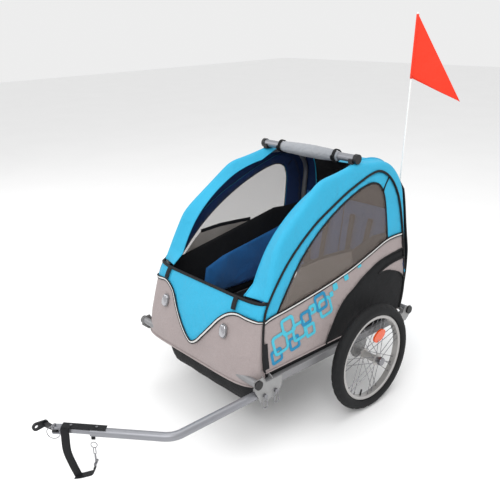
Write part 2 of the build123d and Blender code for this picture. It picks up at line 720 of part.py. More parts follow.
with BuildPart() as seat_back:
    reclined = Plane(origin=point(0, 222.0, SEAT_LOW + SEAT_T + GAP), x_dir=(1, 0, 0), z_dir=(0, -0.98, 0.17))
    with BuildSketch(reclined):
        with Locations((0, 195.0)):
            RectangleRounded(2 * 215.0, 390.0, 24.0)
    extrude(amount=22.0)
save(seat_back.part, "seat_back")

with BuildPart() as harness:
    for x in (-105.0, 105.0):
        for offset_x in (-45.0, 45.0):
            with BuildSketch(reclined.offset(22.0 + GAP)):
                with Locations((x + offset_x, 180.0)):
                    Rectangle(25.0, 300.0)
            extrude(amount=2.0)
        with BuildSketch(reclined.offset(22.0 + GAP + 2.0)):
            with Locations((x, 90.0)):
                RectangleRounded(115.0, 25.0, 4.0)
        extrude(amount=5.0)
save(harness.part, "harnesses")

# ---------------------------------------------------------------- flag
pole_run = Vector(*FLAG_TOP) - Vector(*FLAG_BASE)
pole_way = pole_run.normalized()
pole_plane = Plane(origin=point(*FLAG_BASE), z_dir=pole_way)
SLEEVE_L = 130.0
with BuildPart() as sleeve:
    with BuildSketch(pole_plane.offset(-4.0)):
        Circle(POLE_R + 2.4)
    extrude(amount=SLEEVE_L)
    with BuildSketch(pole_plane):
        Circle(POLE_R + 0.3)
    extrude(amount=SLEEVE_L, mode=Mode.SUBTRACT)
save(sleeve.part, "flag_sleeve")

with BuildPart() as pole:
    with BuildSketch(pole_plane.offset(0.3)):
        Circle(POLE_R)
    extrude(amount=pole_run.length - 0.3)
save(pole.part, "flag_pole")

flag_top = point(*FLAG_TOP) - pole_way * 4.0
flag_low = flag_top - pole_way * FLAG_HEIGHT
tip = point(*FLAG_TIP)
fly = (tip - flag_low).normalized()
across = fly.cross(pole_way).normalized()
HEM_R = POLE_R + 2.0
with BuildPart() as flag:
    with BuildSketch(Plane(origin=flag_low, z_dir=pole_way)):
        Circle(HEM_R)
        Circle(POLE_R + 0.2, mode=Mode.SUBTRACT)
    extrude(amount=FLAG_HEIGHT)
    cloth = Plane(origin=flag_low, x_dir=pole_way.cross(across), z_dir=across)
    top_local = cloth.to_local_coords(flag_top)
    tip_local = cloth.to_local_coords(tip)
    hem_x = HEM_R - 0.6 if tip_local.X > 0 else -HEM_R + 0.6
    with BuildSketch(cloth):
        with BuildLine():
            Polyline([(hem_x, 0), (tip_local.X, tip_local.Y), (hem_x, top_local.Y)], close=True)
        make_face()
    extrude(amount=0.6, both=True)
save(flag.part, "flag")

# ---------------------------------------------------------------- tow bar and hitch
bend = point(*TOW_BEND, TOW_Z)
hitch = point(*HITCH)
leg_way = (hitch - bend).normalized()
tow_end = bend + leg_way * TOW_LEG
tow_tail = point(TOW_X, TOW_TAIL_Y, TOW_Z)
with BuildPart() as tow_bar:
    with BuildLine() as tow_line:
        FilletPolyline([tow_tail, bend, tow_end], radius=TOW_BEND_R)
    with BuildSketch(Plane(origin=tow_tail, z_dir=tow_line.line % 0)):
        Circle(TOW_R)
        Circle(TOW_R - TOW_WALL, mode=Mode.SUBTRACT)
    sweep(path=tow_line.line)
    # bushing that carries the hitch's shank in the open end
    bush = Plane(origin=tow_end, z_dir=leg_way)
    with BuildSketch(bush.offset(-40.0)):
        Circle(TOW_R - TOW_WALL / 2)
        Circle(SHANK_R + RUNNING, mode=Mode.SUBTRACT)
    extrude(amount=40.0)
    for y in TOW_PIN_YS:
        with BuildSketch(Plane(origin=point(TOW_X, y, TOW_Z), x_dir=(0, 1, 0), z_dir=(1, 0, 0))):
            Circle(TOW_PIN_R + RUNNING)
        extrude(amount=40.0, both=True, mode=Mode.SUBTRACT)
save(tow_bar.part, "tow_bar")

PIN_HEAD_X = PLATE_IN + PLATE_T + GAP
for name, y in zip(("front_tow_pin", "rear_tow_pin"), TOW_PIN_YS):
    with BuildPart() as pin:
        head = Plane(origin=point(PIN_HEAD_X, y, TOW_Z), x_dir=(0, 1, 0), z_dir=(1, 0, 0))
        with BuildSketch(head.offset(TOW_CHEEK_X - 8.0 - PIN_HEAD_X)):
            Circle(TOW_PIN_R)
        extrude(amount=PIN_HEAD_X - TOW_CHEEK_X + 8.0)
        with BuildSketch(head):
            Circle(7.0)
        extrude(amount=8.0)
        # wire bail: a hairpin hanging from the head
        with BuildLine() as bail:
            FilletPolyline(
                [
                    point(PIN_HEAD_X + 5, y - 5, TOW_Z - 4),
                    point(PIN_HEAD_X + 6, y - 11, TOW_Z - 42),
                    point(PIN_HEAD_X + 6, y + 9, TOW_Z - 42),
                    point(PIN_HEAD_X + 5, y + 5, TOW_Z - 4),
                ],
                radius=7.0,
            )
        with BuildSketch(Plane(origin=bail.line @ 0, z_dir=bail.line % 0)):
            Circle(1.3)
        sweep(path=bail.line)
    save(pin.part, name)

# hitch: local x points back along the tow bar, local z is the upright pivot
level_way = Vector(leg_way.X, leg_way.Y, 0).normalized()
hitch_plane = Plane(origin=hitch, x_dir=-level_way, z_dir=(0, 0, 1))
NECK_T = 11.0
EAR_T = 5.0
EAR_R = 11.0
SHANK_START = 20.0
shank_len = (tow_end - hitch).length + 38.0
HITCH_PIN_R = 4.0
with BuildPart() as shank:
    with BuildSketch(Plane(origin=hitch - leg_way * SHANK_START, z_dir=-leg_way)):
        Circle(SHANK_R)
    extrude(amount=shank_len - SHANK_START)
    for z in (NECK_T / 2 + GAP, -NECK_T / 2 - GAP - EAR_T):
        with BuildSketch(hitch_plane.offset(z)):
            Circle(EAR_R)
            with Locations((SHANK_START / 2 + 2, 0)):
                Rectangle(SHANK_START + 4, 2 * EAR_R)
            Circle(HITCH_PIN_R + RUNNING, mode=Mode.SUBTRACT)
        extrude(amount=EAR_T)
    with BuildSketch(hitch_plane.offset(-NECK_T / 2 - GAP)):
        with Locations((SHANK_START, 0)):
            Rectangle(8.0, 2 * EAR_R)
    extrude(amount=NECK_T + 2 * GAP)
save(shank.part, "hitch_tip")

# pull pin with a peg on its head that carries the ring
near_way = Vector(-level_way.Y, level_way.X, 0)
near_way = near_way if near_way.X > 0 else near_way * -1
EAR_TOP = NECK_T / 2 + GAP + EAR_T
PEG_R = 3.0
PEG_Z = EAR_TOP + GAP + PEG_R
RING_R = 20.0
RING_WIRE = 1.2
RING_OUT = EAR_R + 4.0
with BuildPart() as hitch_pin:
    with BuildSketch(hitch_plane.offset(-EAR_TOP - 5.0)):
        Circle(HITCH_PIN_R)
    extrude(amount=EAR_TOP + 5.0 + PEG_Z + PEG_R)
    with BuildSketch(Plane(origin=hitch + Vector(0, 0, PEG_Z), x_dir=level_way, z_dir=near_way)):
        Rectangle(2 * PEG_R, 2 * PEG_R)
    extrude(amount=RING_OUT + 4.0)
    ring_centre = hitch + near_way * RING_OUT + Vector(0, 0, PEG_Z + PEG_R + RING_WIRE - RING_R - 0.9)
    with BuildSketch(Plane(origin=ring_centre - Vector(0, 0, RING_R), z_dir=level_way)):
        Circle(RING_WIRE)
    revolve(axis=Axis(ring_centre, near_way))
save(hitch_pin.part, "hitch_pin")

# yoke: turns about the pull pin and carries the coupler plate on a cross pin
TILT = Vector(0, at_y(HITCH[1]) - 9.0, HITCH[2])
TILT_PIN_R = 4.5
with BuildPart() as yoke:
    with BuildSketch(Plane(origin=hitch, x_dir=(-1, 0, 0), z_dir=(0, 0, 1)).offset(-NECK_T / 2)):
        Circle(EAR_R - 1)
        Circle(HITCH_PIN_R + RUNNING, mode=Mode.SUBTRACT)
    extrude(amount=NECK_T)
    with BuildSketch(Plane(origin=Vector(0, 0, HITCH[2] - NECK_T / 2))):
        with BuildLine():
            Polyline([(hitch.X - 7, hitch.Y - 7), (hitch.X - 9, hitch.Y + 3), (COUPLER_T / 2 + 9, TILT.Y + 7),
                      (COUPLER_T / 2 + GAP, TILT.Y + 7), (COUPLER_T / 2 + GAP, TILT.Y - 7),
                      (COUPLER_T / 2 + 9, TILT.Y - 7)], close=True)
        make_face()
    extrude(amount=NECK_T)
    with BuildSketch(Plane(origin=hitch, z_dir=(0, 0, 1)).offset(-NECK_T / 2)):
        Circle(HITCH_PIN_R + RUNNING)
    extrude(amount=NECK_T, mode=Mode.SUBTRACT)
    cross_pin = Plane(origin=TILT, x_dir=(0, 1, 0), z_dir=(1, 0, 0))
    with BuildSketch(cross_pin.offset(-COUPLER_T / 2 - GAP - 3.0)):
        Circle(TILT_PIN_R)
    extrude(amount=COUPLER_T + 2 * GAP + 6.0)
    with BuildSketch(cross_pin.offset(-COUPLER_T / 2 - GAP - 3.0)):
        Circle(TILT_PIN_R + 3.0)
    extrude(amount=3.0)
save(yoke.part, "hitch_yoke")

# coupler: the upright plate that the bicycle's axle bolt passes through
eye = point(*EYE, HITCH[2])
with BuildPart() as coupler:
    with BuildSketch(Plane(origin=eye - Vector(COUPLER_T / 2, 0, 0), x_dir=(0, 1, 0), z_dir=(1, 0, 0))):
        reach = TILT.Y - eye.Y
        Circle(COUPLER_R)
        with Locations((reach, 0)):
            Circle(COUPLER_R - 3)
        with BuildLine():
            Polyline([(0, -COUPLER_R), (reach, -COUPLER_R + 3), (reach, COUPLER_R - 3), (0, COUPLER_R)], close=True)
        make_face()
        Circle(EYE_R, mode=Mode.SUBTRACT)
        with Locations((reach, 0)):
            Circle(TILT_PIN_R + RUNNING, mode=Mode.SUBTRACT)
    extrude(amount=COUPLER_T)
save(coupler.part, "hitch_coupler")

# ---------------------------------------------------------------- safety strap
# Laid out along the tow bar's slanting leg: (distance from the bend, height over the bend's middle)
def along_leg(s, h, near=0.0):
    return bend + level_way * s + Vector(0, 0, h) + near_way * near


leg_rise = (hitch.Z - bend.Z) / Vector(hitch.X - bend.X, hitch.Y - bend.Y, 0).length
STRAP_W = 26.0
STRAP_T = 2.5
STRAP_NEAR = TOW_R + 3.0


def side_sketch_plane(near):
    """A plane beside the tow bar's leg, with local x along the leg and local y up."""
    return Plane(origin=bend + near_way * near, x_dir=level_way, z_dir=level_way.cross(Vector(0, 0, 1)))


strap_top = TOW_R + 0.3 + STRAP_T / 2
way = 1 if level_way.cross(Vector(0, 0, 1)).dot(near_way) > 0 else -1
TOP_S = (198.0, 330.0)
HANG = [(317.0, TOP_S[1] * leg_rise + strap_top), (318.0, -48.0), (293.0, -134.0)]
UNDER = [(303.0, -136.5), (266.0, -127.5), (245.0, -118.0), (239.0, -96.0)]
with BuildPart() as strap:
    # along the top of the tube
    with BuildSketch(side_sketch_plane(0)):
        with BuildLine():
            Polyline([(s, s * leg_rise + strap_top) for s in TOP_S])
        trace(line_width=STRAP_T)
    extrude(amount=STRAP_W / 2, both=True)
    # folded over the near side and hanging with its face out
    with BuildSketch(side_sketch_plane(STRAP_NEAR - STRAP_T / 2)):
        with BuildLine():
            FilletPolyline(HANG, radius=40.0)
        trace(line_width=STRAP_W)
    extrude(amount=way * STRAP_T)
    with BuildSketch(side_sketch_plane(0)):
        with BuildLine():
            Polyline([(HANG[0][0] - STRAP_W / 2, HANG[0][1]), (HANG[0][0] + STRAP_W / 2, HANG[0][1])])
        trace(line_width=STRAP_T)
    extrude(amount=way * (STRAP_NEAR + STRAP_T / 2))
    # creased at the bottom and led back edge-on to the clip
    with BuildSketch(side_sketch_plane(STRAP_NEAR + STRAP_T / 2)):
        with BuildLine():
            FilletPolyline(UNDER, radius=9.0)
        trace(line_width=STRAP_T)
    extrude(amount=-way * STRAP_W)
save(strap.part, "safety_strap")

with BuildPart() as rivets:
    for s in (226.0, 303.0):
        base = along_leg(s, s * leg_rise + strap_top + STRAP_T / 2)
        with BuildSketch(Plane(origin=base, z_dir=(0, 0, 1))):
            Circle(4.0)
        extrude(amount=2.0)
save(rivets.part, "strap_rivets")

# clip, chain and ring between the strap's end and a tab under the tube
clip_near = STRAP_NEAR + STRAP_T / 2 - STRAP_W / 2
CHAIN_S = UNDER[-1][0]
CHAIN_LOW = UNDER[-1][1] + 10.0
CHAIN_TOP = -40.0
LINKS = 2
LINK_WIRE = 2.2
link_h = (CHAIN_TOP - CHAIN_LOW) / LINKS
with BuildPart() as chain:
    with BuildSketch(Plane(origin=along_leg(CHAIN_S, UNDER[-1][1], clip_near), x_dir=near_way, z_dir=(0, 0, 1))):
        RectangleRounded(STRAP_W + 2, 7.0, 2.5)
    extrude(amount=5.0)
    with BuildSketch(Plane(origin=along_leg(CHAIN_S, UNDER[-1][1] + 4.0, clip_near), z_dir=(0, 0, 1))):
        Circle(2.2)
    extrude(amount=7.0)
    for i in range(LINKS):
        middle = along_leg(CHAIN_S, CHAIN_LOW + (i + 0.5) * link_h, clip_near)
        face = near_way if i % 2 else level_way
        with BuildSketch(Plane(origin=middle - face * LINK_WIRE / 2, x_dir=(0, 0, 1), z_dir=face)):
            SlotOverall(link_h + LINK_WIRE, 9.0)
            SlotOverall(link_h - LINK_WIRE, 4.6, mode=Mode.SUBTRACT)
        extrude(amount=LINK_WIRE)
    ring_mid = along_leg(CHAIN_S, CHAIN_TOP + 9.0, clip_near)
    with BuildSketch(Plane(origin=ring_mid + Vector(0, 0, 9.5), z_dir=level_way)):
        Circle(1.2)
    revolve(axis=Axis(ring_mid, near_way))
save(chain.part, "strap_chain")

tab_top = CHAIN_S * leg_rise - TOW_R
with BuildPart() as ring_tab:
    with BuildSketch(Plane(origin=along_leg(CHAIN_S, tab_top, clip_near / 2), x_dir=level_way, z_dir=(0, 0, 1))):
        Rectangle(14.0, clip_near + 5)
    extrude(amount=-(tab_top - CHAIN_TOP - 17.5))
save(ring_tab.part, "ring_tab")
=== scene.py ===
"""Looks of a two-seat child bicycle trailer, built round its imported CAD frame. Metres, +Z up, -Y forward."""
import bpy
import numpy as np
from math import cos, sin, tan, radians, pi
from mathutils import Vector, Matrix, noise
from mathutils.geometry import delaunay_2d_cdt


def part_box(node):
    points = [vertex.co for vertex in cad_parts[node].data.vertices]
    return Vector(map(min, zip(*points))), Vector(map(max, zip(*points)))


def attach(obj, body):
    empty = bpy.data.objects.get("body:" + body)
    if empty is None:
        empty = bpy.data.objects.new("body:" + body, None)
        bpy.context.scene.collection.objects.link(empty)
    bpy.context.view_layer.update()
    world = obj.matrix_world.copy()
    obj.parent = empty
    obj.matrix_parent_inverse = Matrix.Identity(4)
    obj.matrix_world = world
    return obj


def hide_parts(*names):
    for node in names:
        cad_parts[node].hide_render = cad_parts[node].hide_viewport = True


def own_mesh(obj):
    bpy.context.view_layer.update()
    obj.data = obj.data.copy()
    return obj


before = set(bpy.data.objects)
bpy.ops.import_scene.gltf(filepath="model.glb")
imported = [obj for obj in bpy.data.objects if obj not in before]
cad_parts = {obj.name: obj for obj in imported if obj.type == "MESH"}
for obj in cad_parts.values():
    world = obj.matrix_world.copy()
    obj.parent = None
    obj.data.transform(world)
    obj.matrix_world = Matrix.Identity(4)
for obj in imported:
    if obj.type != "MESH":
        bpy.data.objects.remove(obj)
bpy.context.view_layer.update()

AXLE_Y = float(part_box("left_rim")[0][1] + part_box("left_rim")[1][1]) / 2     # wheel axle
LEAN = radians(7.0)     # each side leans in by this
WHEEL_X = 0.372
WHEEL_Z = 0.2
HINGE_X = 0.295
HINGE_Z = 0.300


# ------------------------------------------------------------------ helpers
def point(x, y, z):
    return np.array((x, AXLE_Y + y, z), float)


def side_x(z, out=0.0):
    return HINGE_X - (z - HINGE_Z) * tan(LEAN) + out / cos(LEAN)


def srgb(r, g, b):
    f = lambda c: c / 12.92 if c <= 0.04045 else ((c + 0.055) / 1.055) ** 2.4
    return (f(r / 255), f(g / 255), f(b / 255), 1.0)


def spline(points, n, closed=False):
    """Evenly spaced points on a centripetal Catmull-Rom curve."""
    p = np.array(points, float)
    if closed:
        p = np.vstack([p[-1], p, p[:2]])
    else:
        p = np.vstack([2 * p[0] - p[1], p, 2 * p[-1] - p[-2]])
    out = []
    for i in range(1, len(p) - 2):
        a, b, c, d = p[i - 1], p[i], p[i + 1], p[i + 2]
        t0 = 0.0
        t1 = t0 + max(np.linalg.norm(b - a), 1e-9) ** 0.5
        t2 = t1 + max(np.linalg.norm(c - b), 1e-9) ** 0.5
        t3 = t2 + max(np.linalg.norm(d - c), 1e-9) ** 0.5
        for t in np.linspace(t1, t2, 16, endpoint=False):
            A1 = (t1 - t) / (t1 - t0) * a + (t - t0) / (t1 - t0) * b
            A2 = (t2 - t) / (t2 - t1) * b + (t - t1) / (t2 - t1) * c
            A3 = (t3 - t) / (t3 - t2) * c + (t - t2) / (t3 - t2) * d
            B1 = (t2 - t) / (t2 - t0) * A1 + (t - t0) / (t2 - t0) * A2
            B2 = (t3 - t) / (t3 - t1) * A2 + (t - t1) / (t3 - t1) * A3
            out.append((t2 - t) / (t2 - t1) * B1 + (t - t1) / (t2 - t1) * B2)
    out.append(p[-2])
    return even(np.array(out), n)


def even(q, n):
    q = np.asarray(q, float)
    s = np.concatenate([[0], np.cumsum(np.linalg.norm(np.diff(q, axis=0), axis=1))])
    t = np.linspace(0, s[-1], n)
    return np.stack([np.interp(t, s, q[:, k]) for k in range(q.shape[1])], 1)


def link(name, mesh):
    o = bpy.data.objects.new(name, mesh)
    bpy.context.scene.collection.objects.link(o)
    return o


def mesh_obj(name, verts, faces, smooth=True):
    m = bpy.data.meshes.new(name)
    m.from_pydata([tuple(map(float, v)) for v in verts], [], [tuple(map(int, f)) for f in faces])
    m.validate()
    m.update()
    if smooth:
        m.polygons.foreach_set("use_smooth", [True] * len(m.polygons))
    return link(name, m)


def grid(name, rows, close_u=False, close_v=False, smooth=True):
    """A surface through rows of points."""
    rows = np.asarray(rows, float)
    n, k = rows.shape[:2]
    faces = []
    for i in range(n if close_v else n - 1):
        for j in range(k if close_u else k - 1):
            a, b = i * k + j, i * k + (j + 1) % k
            c, d = ((i + 1) % n) * k + (j + 1) % k, ((i + 1) % n) * k + j
            faces.append((a, b, c, d))
    return mesh_obj(name, rows.reshape(-1, 3), faces, smooth)


def frames(path, closed=False, up=None):
    path = np.asarray(path, float)
    n = len(path)
    t = np.zeros_like(path)
    for i in range(n):
        a = path[(i - 1) % n] if closed or i > 0 else path[i]
        b = path[(i + 1) % n] if closed or i < n - 1 else path[i]
        t[i] = (b - a) / (np.linalg.norm(b - a) + 1e-12)
    ref = np.array(up if up is not None else (0, 0, 1.0), float)
    if up is None and abs(t[0] @ ref) > 0.9:
        ref = np.array((1.0, 0, 0))
    nn = np.zeros_like(path)
    v = ref - (ref @ t[0]) * t[0]
    v /= np.linalg.norm(v)
    for i in range(n):
        if up is not None:
            v = ref - (ref @ t[i]) * t[i]
            if np.linalg.norm(v) < 1e-6:
                v = nn[i - 1]
        else:
            v = v - (v @ t[i]) * t[i]
        v = v / (np.linalg.norm(v) + 1e-12)
        nn[i] = v
    return t, nn, np.cross(t, nn)


def cap_ends(o, around):
    """Closes both ends of a swept piece whose section has this many points."""
    name = o.name
    verts = [tuple(v.co) for v in o.data.vertices]
    faces = [tuple(p.vertices) for p in o.data.polygons]
    k = len(verts)
    faces += [tuple(range(around))[::-1], tuple(range(k - around, k))]
    bpy.data.objects.remove(o)
    return mesh_obj(name, verts, faces)


def tube(name, path, r, around=10, closed=False, flat=None, up=None):
    """A round (or, with flat, oval) tube along a path."""
    path = np.asarray(path, float)
    t, n, b = frames(path, closed, up)
    rows = []
    for i in range(len(path)):
        ring = []
        for j in range(around):
            a = 2 * pi * j / around
            ring.append(path[i] + n[i] * cos(a) * (flat or r) + b[i] * sin(a) * r)
        rows.append(ring)
    o = grid(name, rows, close_u=True, close_v=closed)
    return o if closed else cap_ends(o, around)


def ribbon(name, path, width_dir, width, thick):
    """A flat strap: a rounded rectangular section swept along a path, wide along width_dir."""
    path = np.asarray(path, float)
    t, _, _ = frames(path)
    w = np.asarray(width_dir, float)
    if w.ndim == 1:
        w = np.tile(w, (len(path), 1))
    rows = []
    h, q = width / 2, thick / 2
    sec = [(-h, -q * 0.4), (-h + q, -q), (h - q, -q), (h, -q * 0.4), (h, q * 0.4), (h - q, q), (-h + q, q),
           (-h, q * 0.4)]
    for i in range(len(path)):
        wd = w[i] - (w[i] @ t[i]) * t[i]
        wd /= np.linalg.norm(wd) + 1e-12
        nd = np.cross(t[i], wd)
        rows.append([path[i] + wd * a + nd * c for a, c in sec])
    o = cap_ends(grid(name, rows, close_u=True), 8)
    bevel_shade(o)
    return o


def bevel_shade(o, angle=35):
    m = o.modifiers.new("edges", "EDGE_SPLIT")
    m.split_angle = radians(angle)


def solidify(o, t, offset=0.0, mat_offset=0):
    m = o.modifiers.new("thickness", "SOLIDIFY")
    m.thickness = t
    m.offset = offset
    m.material_offset = mat_offset
    m.material_offset_rim = 0
    m.use_even_offset = True
    return o


def subsurf(o, n=1):
    m = o.modifiers.new("smooth", "SUBSURF")
    m.levels = m.render_levels = n


def inside(pt, poly):
    x, y = pt
    c = False
    j = len(poly) - 1
    for i in range(len(poly)):
        xi, yi = poly[i]
        xj, yj = poly[j]
        if (yi > y) != (yj > y) and x < (xj - xi) * (y - yi) / (yj - yi) + xi:
            c = not c
        j = i
    return c


def edge_distance(pts, poly):
    """Distance of each point to the nearest edge of a closed polygon."""
    pts = np.asarray(pts, float)
    a = np.asarray(poly, float)
    b = np.roll(a, -1, axis=0)
    ab = b - a
    square = (ab ** 2).sum(1) + 1e-15
    d = np.full(len(pts), 1e9)
    for k in range(len(a)):
        t = np.clip(((pts - a[k]) @ ab[k]) / square[k], 0, 1)
        d = np.minimum(d, np.linalg.norm(pts - a[k] - t[:, None] * ab[k], axis=1))
    return d


def patch(name, keep, drop, spacing, place):
    """A triangulated piece of cloth: the polygon keep without the polygons in drop, placed in space.

    place takes (points, distance to the seam) and returns points in space.
    """
    keep = np.asarray(keep, float)
    loops = [keep] + [np.asarray(d, float) for d in drop]
    verts, edges = [], []
    for loop in loops:
        k = len(verts)
        verts += [tuple(p) for p in loop]
        edges += [(k + i, k + (i + 1) % len(loop)) for i in range(len(loop))]
    lo, hi = keep.min(0), keep.max(0)
    xs = np.arange(lo[0], hi[0], spacing)
    ys = np.arange(lo[1], hi[1], spacing * 0.87)
    pts = [(x + (spacing / 2 if i % 2 else 0), y) for i, y in enumerate(ys) for x in xs]
    pts = [p for p in pts if inside(p, keep) and not any(inside(p, d) for d in loops[1:])]
    if pts:
        near = np.min([edge_distance(pts, l) for l in loops], axis=0)
        pts = [p for p, d in zip(pts, near) if d > spacing * 0.45]
    allv = verts + pts
    v, e, f, *_ = delaunay_2d_cdt([Vector(p) for p in allv], edges, [], 0, 1e-6)
    v = np.array([tuple(p) for p in v])
    tri = []
    for face in f:
        c = v[list(face)].mean(0)
        if inside(c, keep) and not any(inside(c, d) for d in loops[1:]):
            tri.append(tuple(face))
    used = sorted({i for t in tri for i in t})
    index = {old: new for new, old in enumerate(used)}
    v = v[used]
    tri = [tuple(index[i] for i in t) for t in tri]
    d = np.min([edge_distance(v, l) for l in loops], axis=0)
    return mesh_obj(name, place(v, d), tri)


def wrinkle(p, size=0.09, amount=0.003, seed=0.0):
    return amount * noise.noise(Vector((p[0] / size + seed, p[1] / size, p[2] / size)))


# ------------------------------------------------------------------ materials
def nodes_of(name):
    m = bpy.data.materials.new(name)
    m.use_nodes = True
    nt = m.node_tree
    bsdf = nt.nodes["Principled BSDF"]
    return m, nt, bsdf


def noise_texture(nodes, links, coords, scale, detail=2.0, distortion=0.0):
    tex = nodes.new("ShaderNodeTexNoise")
    tex.inputs["Scale"].default_value = scale
    tex.inputs["Detail"].default_value = detail
    tex.inputs["Distortion"].default_value = distortion
    links.new(coords.outputs["Object"], tex.inputs["Vector"])
    return tex


def fabric(name, color, rough=0.78, weave=1.3, bump=0.25, vary=0.10, sheen=0.15, alpha=None, second=None,
           coarse=None):
    m, nt, b = nodes_of(name)
    nodes, links = nt.nodes, nt.links
    tc = nodes.new("ShaderNodeTexCoord")
    n1 = noise_texture(nodes, links, tc, 9.0, 5.0)
    n2 = noise_texture(nodes, links, tc, 420.0, 2.0)
    mix1 = nodes.new("ShaderNodeMix")
    mix1.data_type = "RGBA"
    dark = tuple(c * (1 - vary) for c in color[:3]) + (1,)
    light = tuple(min(c * (1 + vary) + vary * 0.02, 1) for c in color[:3]) + (1,)
    mix1.inputs["A"].default_value = dark
    mix1.inputs["B"].default_value = light
    links.new(n1.outputs["Fac"], mix1.inputs["Factor"])
    mix2 = nodes.new("ShaderNodeMix")
    mix2.data_type = "RGBA"
    mix2.blend_type = "MULTIPLY"
    mix2.inputs["Factor"].default_value = 0.35
    ramp = nodes.new("ShaderNodeValToRGB")
    ramp.color_ramp.elements[0].position = 0.25
    ramp.color_ramp.elements[0].color = (0.62, 0.62, 0.62, 1)
    ramp.color_ramp.elements[1].position = 0.75
    ramp.color_ramp.elements[1].color = (1.15, 1.15, 1.15, 1)
    links.new(n2.outputs["Fac"], ramp.inputs["Fac"])
    links.new(mix1.outputs["Result"], mix2.inputs["A"])
    links.new(ramp.outputs["Color"], mix2.inputs["B"])
    links.new(mix2.outputs["Result"], b.inputs["Base Color"])
    # weave: threads along the three axes, and soft creases under them
    waves = []
    for axis in ("X", "Z", "Y"):
        w = nodes.new("ShaderNodeTexWave")
        w.wave_type = "BANDS"
        w.bands_direction = axis
        w.inputs["Scale"].default_value = 0.314 / (weave / 1000.0)
        w.inputs["Distortion"].default_value = 0.6
        w.inputs["Detail"].default_value = 1.0
        links.new(tc.outputs["Object"], w.inputs["Vector"])
        waves.append(w)
    add = nodes.new("ShaderNodeMath")
    add.operation = "ADD"
    links.new(waves[0].outputs["Fac"], add.inputs[0])
    links.new(waves[1].outputs["Fac"], add.inputs[1])
    add2 = nodes.new("ShaderNodeMath")
    add2.operation = "ADD"
    links.new(add.outputs[0], add2.inputs[0])
    links.new(waves[2].outputs["Fac"], add2.inputs[1])
    bw = nodes.new("ShaderNodeBump")
    bw.inputs["Strength"].default_value = bump
    bw.inputs["Distance"].default_value = 0.0004
    links.new(add2.outputs[0], bw.inputs["Height"])
    crease = noise_texture(nodes, links, tc, coarse or 16.0, 3.0, 0.8)
    bc = nodes.new("ShaderNodeBump")
    bc.inputs["Strength"].default_value = 0.55
    bc.inputs["Distance"].default_value = 0.010
    links.new(crease.outputs["Fac"], bc.inputs["Height"])
    links.new(bc.outputs["Normal"], bw.inputs["Normal"])
    links.new(bw.outputs["Normal"], b.inputs["Normal"])
    b.inputs["Roughness"].default_value = rough
    b.inputs["Sheen Weight"].default_value = sheen
    b.inputs["Sheen Roughness"].default_value = 0.5
    b.inputs["Specular IOR Level"].default_value = 0.3
    if alpha is not None:
        b.inputs["Alpha"].default_value = alpha
    return m


def metal(name, color, rough=0.35, metallic=1.0, grain=60.0, vary=0.12, bump=0.04, coat=0.0):
    m, nt, b = nodes_of(name)
    nodes, links = nt.nodes, nt.links
    tc = nodes.new("ShaderNodeTexCoord")
    n1 = noise_texture(nodes, links, tc, grain, 6.0)
    mix = nodes.new("ShaderNodeMix")
    mix.data_type = "RGBA"
    mix.inputs["A"].default_value = tuple(c * (1 - vary) for c in color[:3]) + (1,)
    mix.inputs["B"].default_value = tuple(min(1, c * (1 + vary * 0.6)) for c in color[:3]) + (1,)
    links.new(n1.outputs["Fac"], mix.inputs["Factor"])
    links.new(mix.outputs["Result"], b.inputs["Base Color"])
    rr = nodes.new("ShaderNodeMapRange")
    rr.inputs["To Min"].default_value = max(rough - 0.08, 0.03)
    rr.inputs["To Max"].default_value = rough + 0.10
    links.new(n1.outputs["Fac"], rr.inputs["Value"])
    links.new(rr.outputs["Result"], b.inputs["Roughness"])
    fine = noise_texture(nodes, links, tc, grain * 9)
    bp = nodes.new("ShaderNodeBump")
    bp.inputs["Strength"].default_value = bump
    bp.inputs["Distance"].default_value = 0.0005
    links.new(fine.outputs["Fac"], bp.inputs["Height"])
    links.new(bp.outputs["Normal"], b.inputs["Normal"])
    b.inputs["Metallic"].default_value = metallic
    b.inputs["Coat Weight"].default_value = coat
    return m


def plastic(name, color, rough=0.45, grain=240.0, bump=0.12, coat=0.0, spec=0.5):
    m = metal(name, color, rough, 0.0, grain, 0.08, bump, coat)
    m.node_tree.nodes["Principled BSDF"].inputs["Specular IOR Level"].default_value = spec
    return m


MATERIAL = {}
MATERIAL["blue"] = fabric("canopy_blue", srgb(46, 166, 204), 0.62, 1.2, 0.22, 0.06, 0.03)
MATERIAL["grey"] = fabric("panel_grey", srgb(156, 145, 144), 0.7, 1.2, 0.25, 0.07, 0.05)
MATERIAL["black"] = fabric("black_polyester", srgb(11, 12, 15), 0.8, 1.5, 0.35, 0.2, 0.02)
MATERIAL["navy"] = fabric("navy_lining", srgb(12, 44, 92), 0.8, 1.3, 0.25, 0.15, 0.1)
MATERIAL["seat_blue"] = fabric("seat_blue", srgb(28, 98, 160), 0.78, 1.3, 0.3, 0.15, 0.15)
MATERIAL["webbing"] = fabric("black_webbing", srgb(12, 13, 17), 0.7, 1.9, 0.7, 0.15, 0.0)
MATERIAL["piping"] = fabric("black_piping", srgb(8, 8, 10), 0.6, 1.0, 0.3, 0.1, 0.0)
MATERIAL["white"] = fabric("reflective_white", srgb(214, 214, 212), 0.35, 0.8, 0.1, 0.03, 0.0)
MATERIAL["cover"] = fabric("rolled_grey", srgb(146, 149, 154), 0.5, 1.1, 0.2, 0.14, 0.1, coarse=34.0)
MATERIAL["film"] = fabric("tinted_film", srgb(124, 114, 108), 0.36, 1.6, 0.25, 0.10, 0.0, alpha=0.36)
MATERIAL["net"] = fabric("pocket_net", srgb(150, 144, 138), 0.8, 4.2, 1.0, 0.2, 0.0, alpha=0.8)
MATERIAL["flag"] = fabric("flag_nylon", srgb(240, 52, 22), 0.55, 0.9, 0.12, 0.05, 0.1)
MATERIAL["print_light"] = fabric("print_light", srgb(72, 180, 202), 0.6, 1.2, 0.2, 0.04, 0.0)
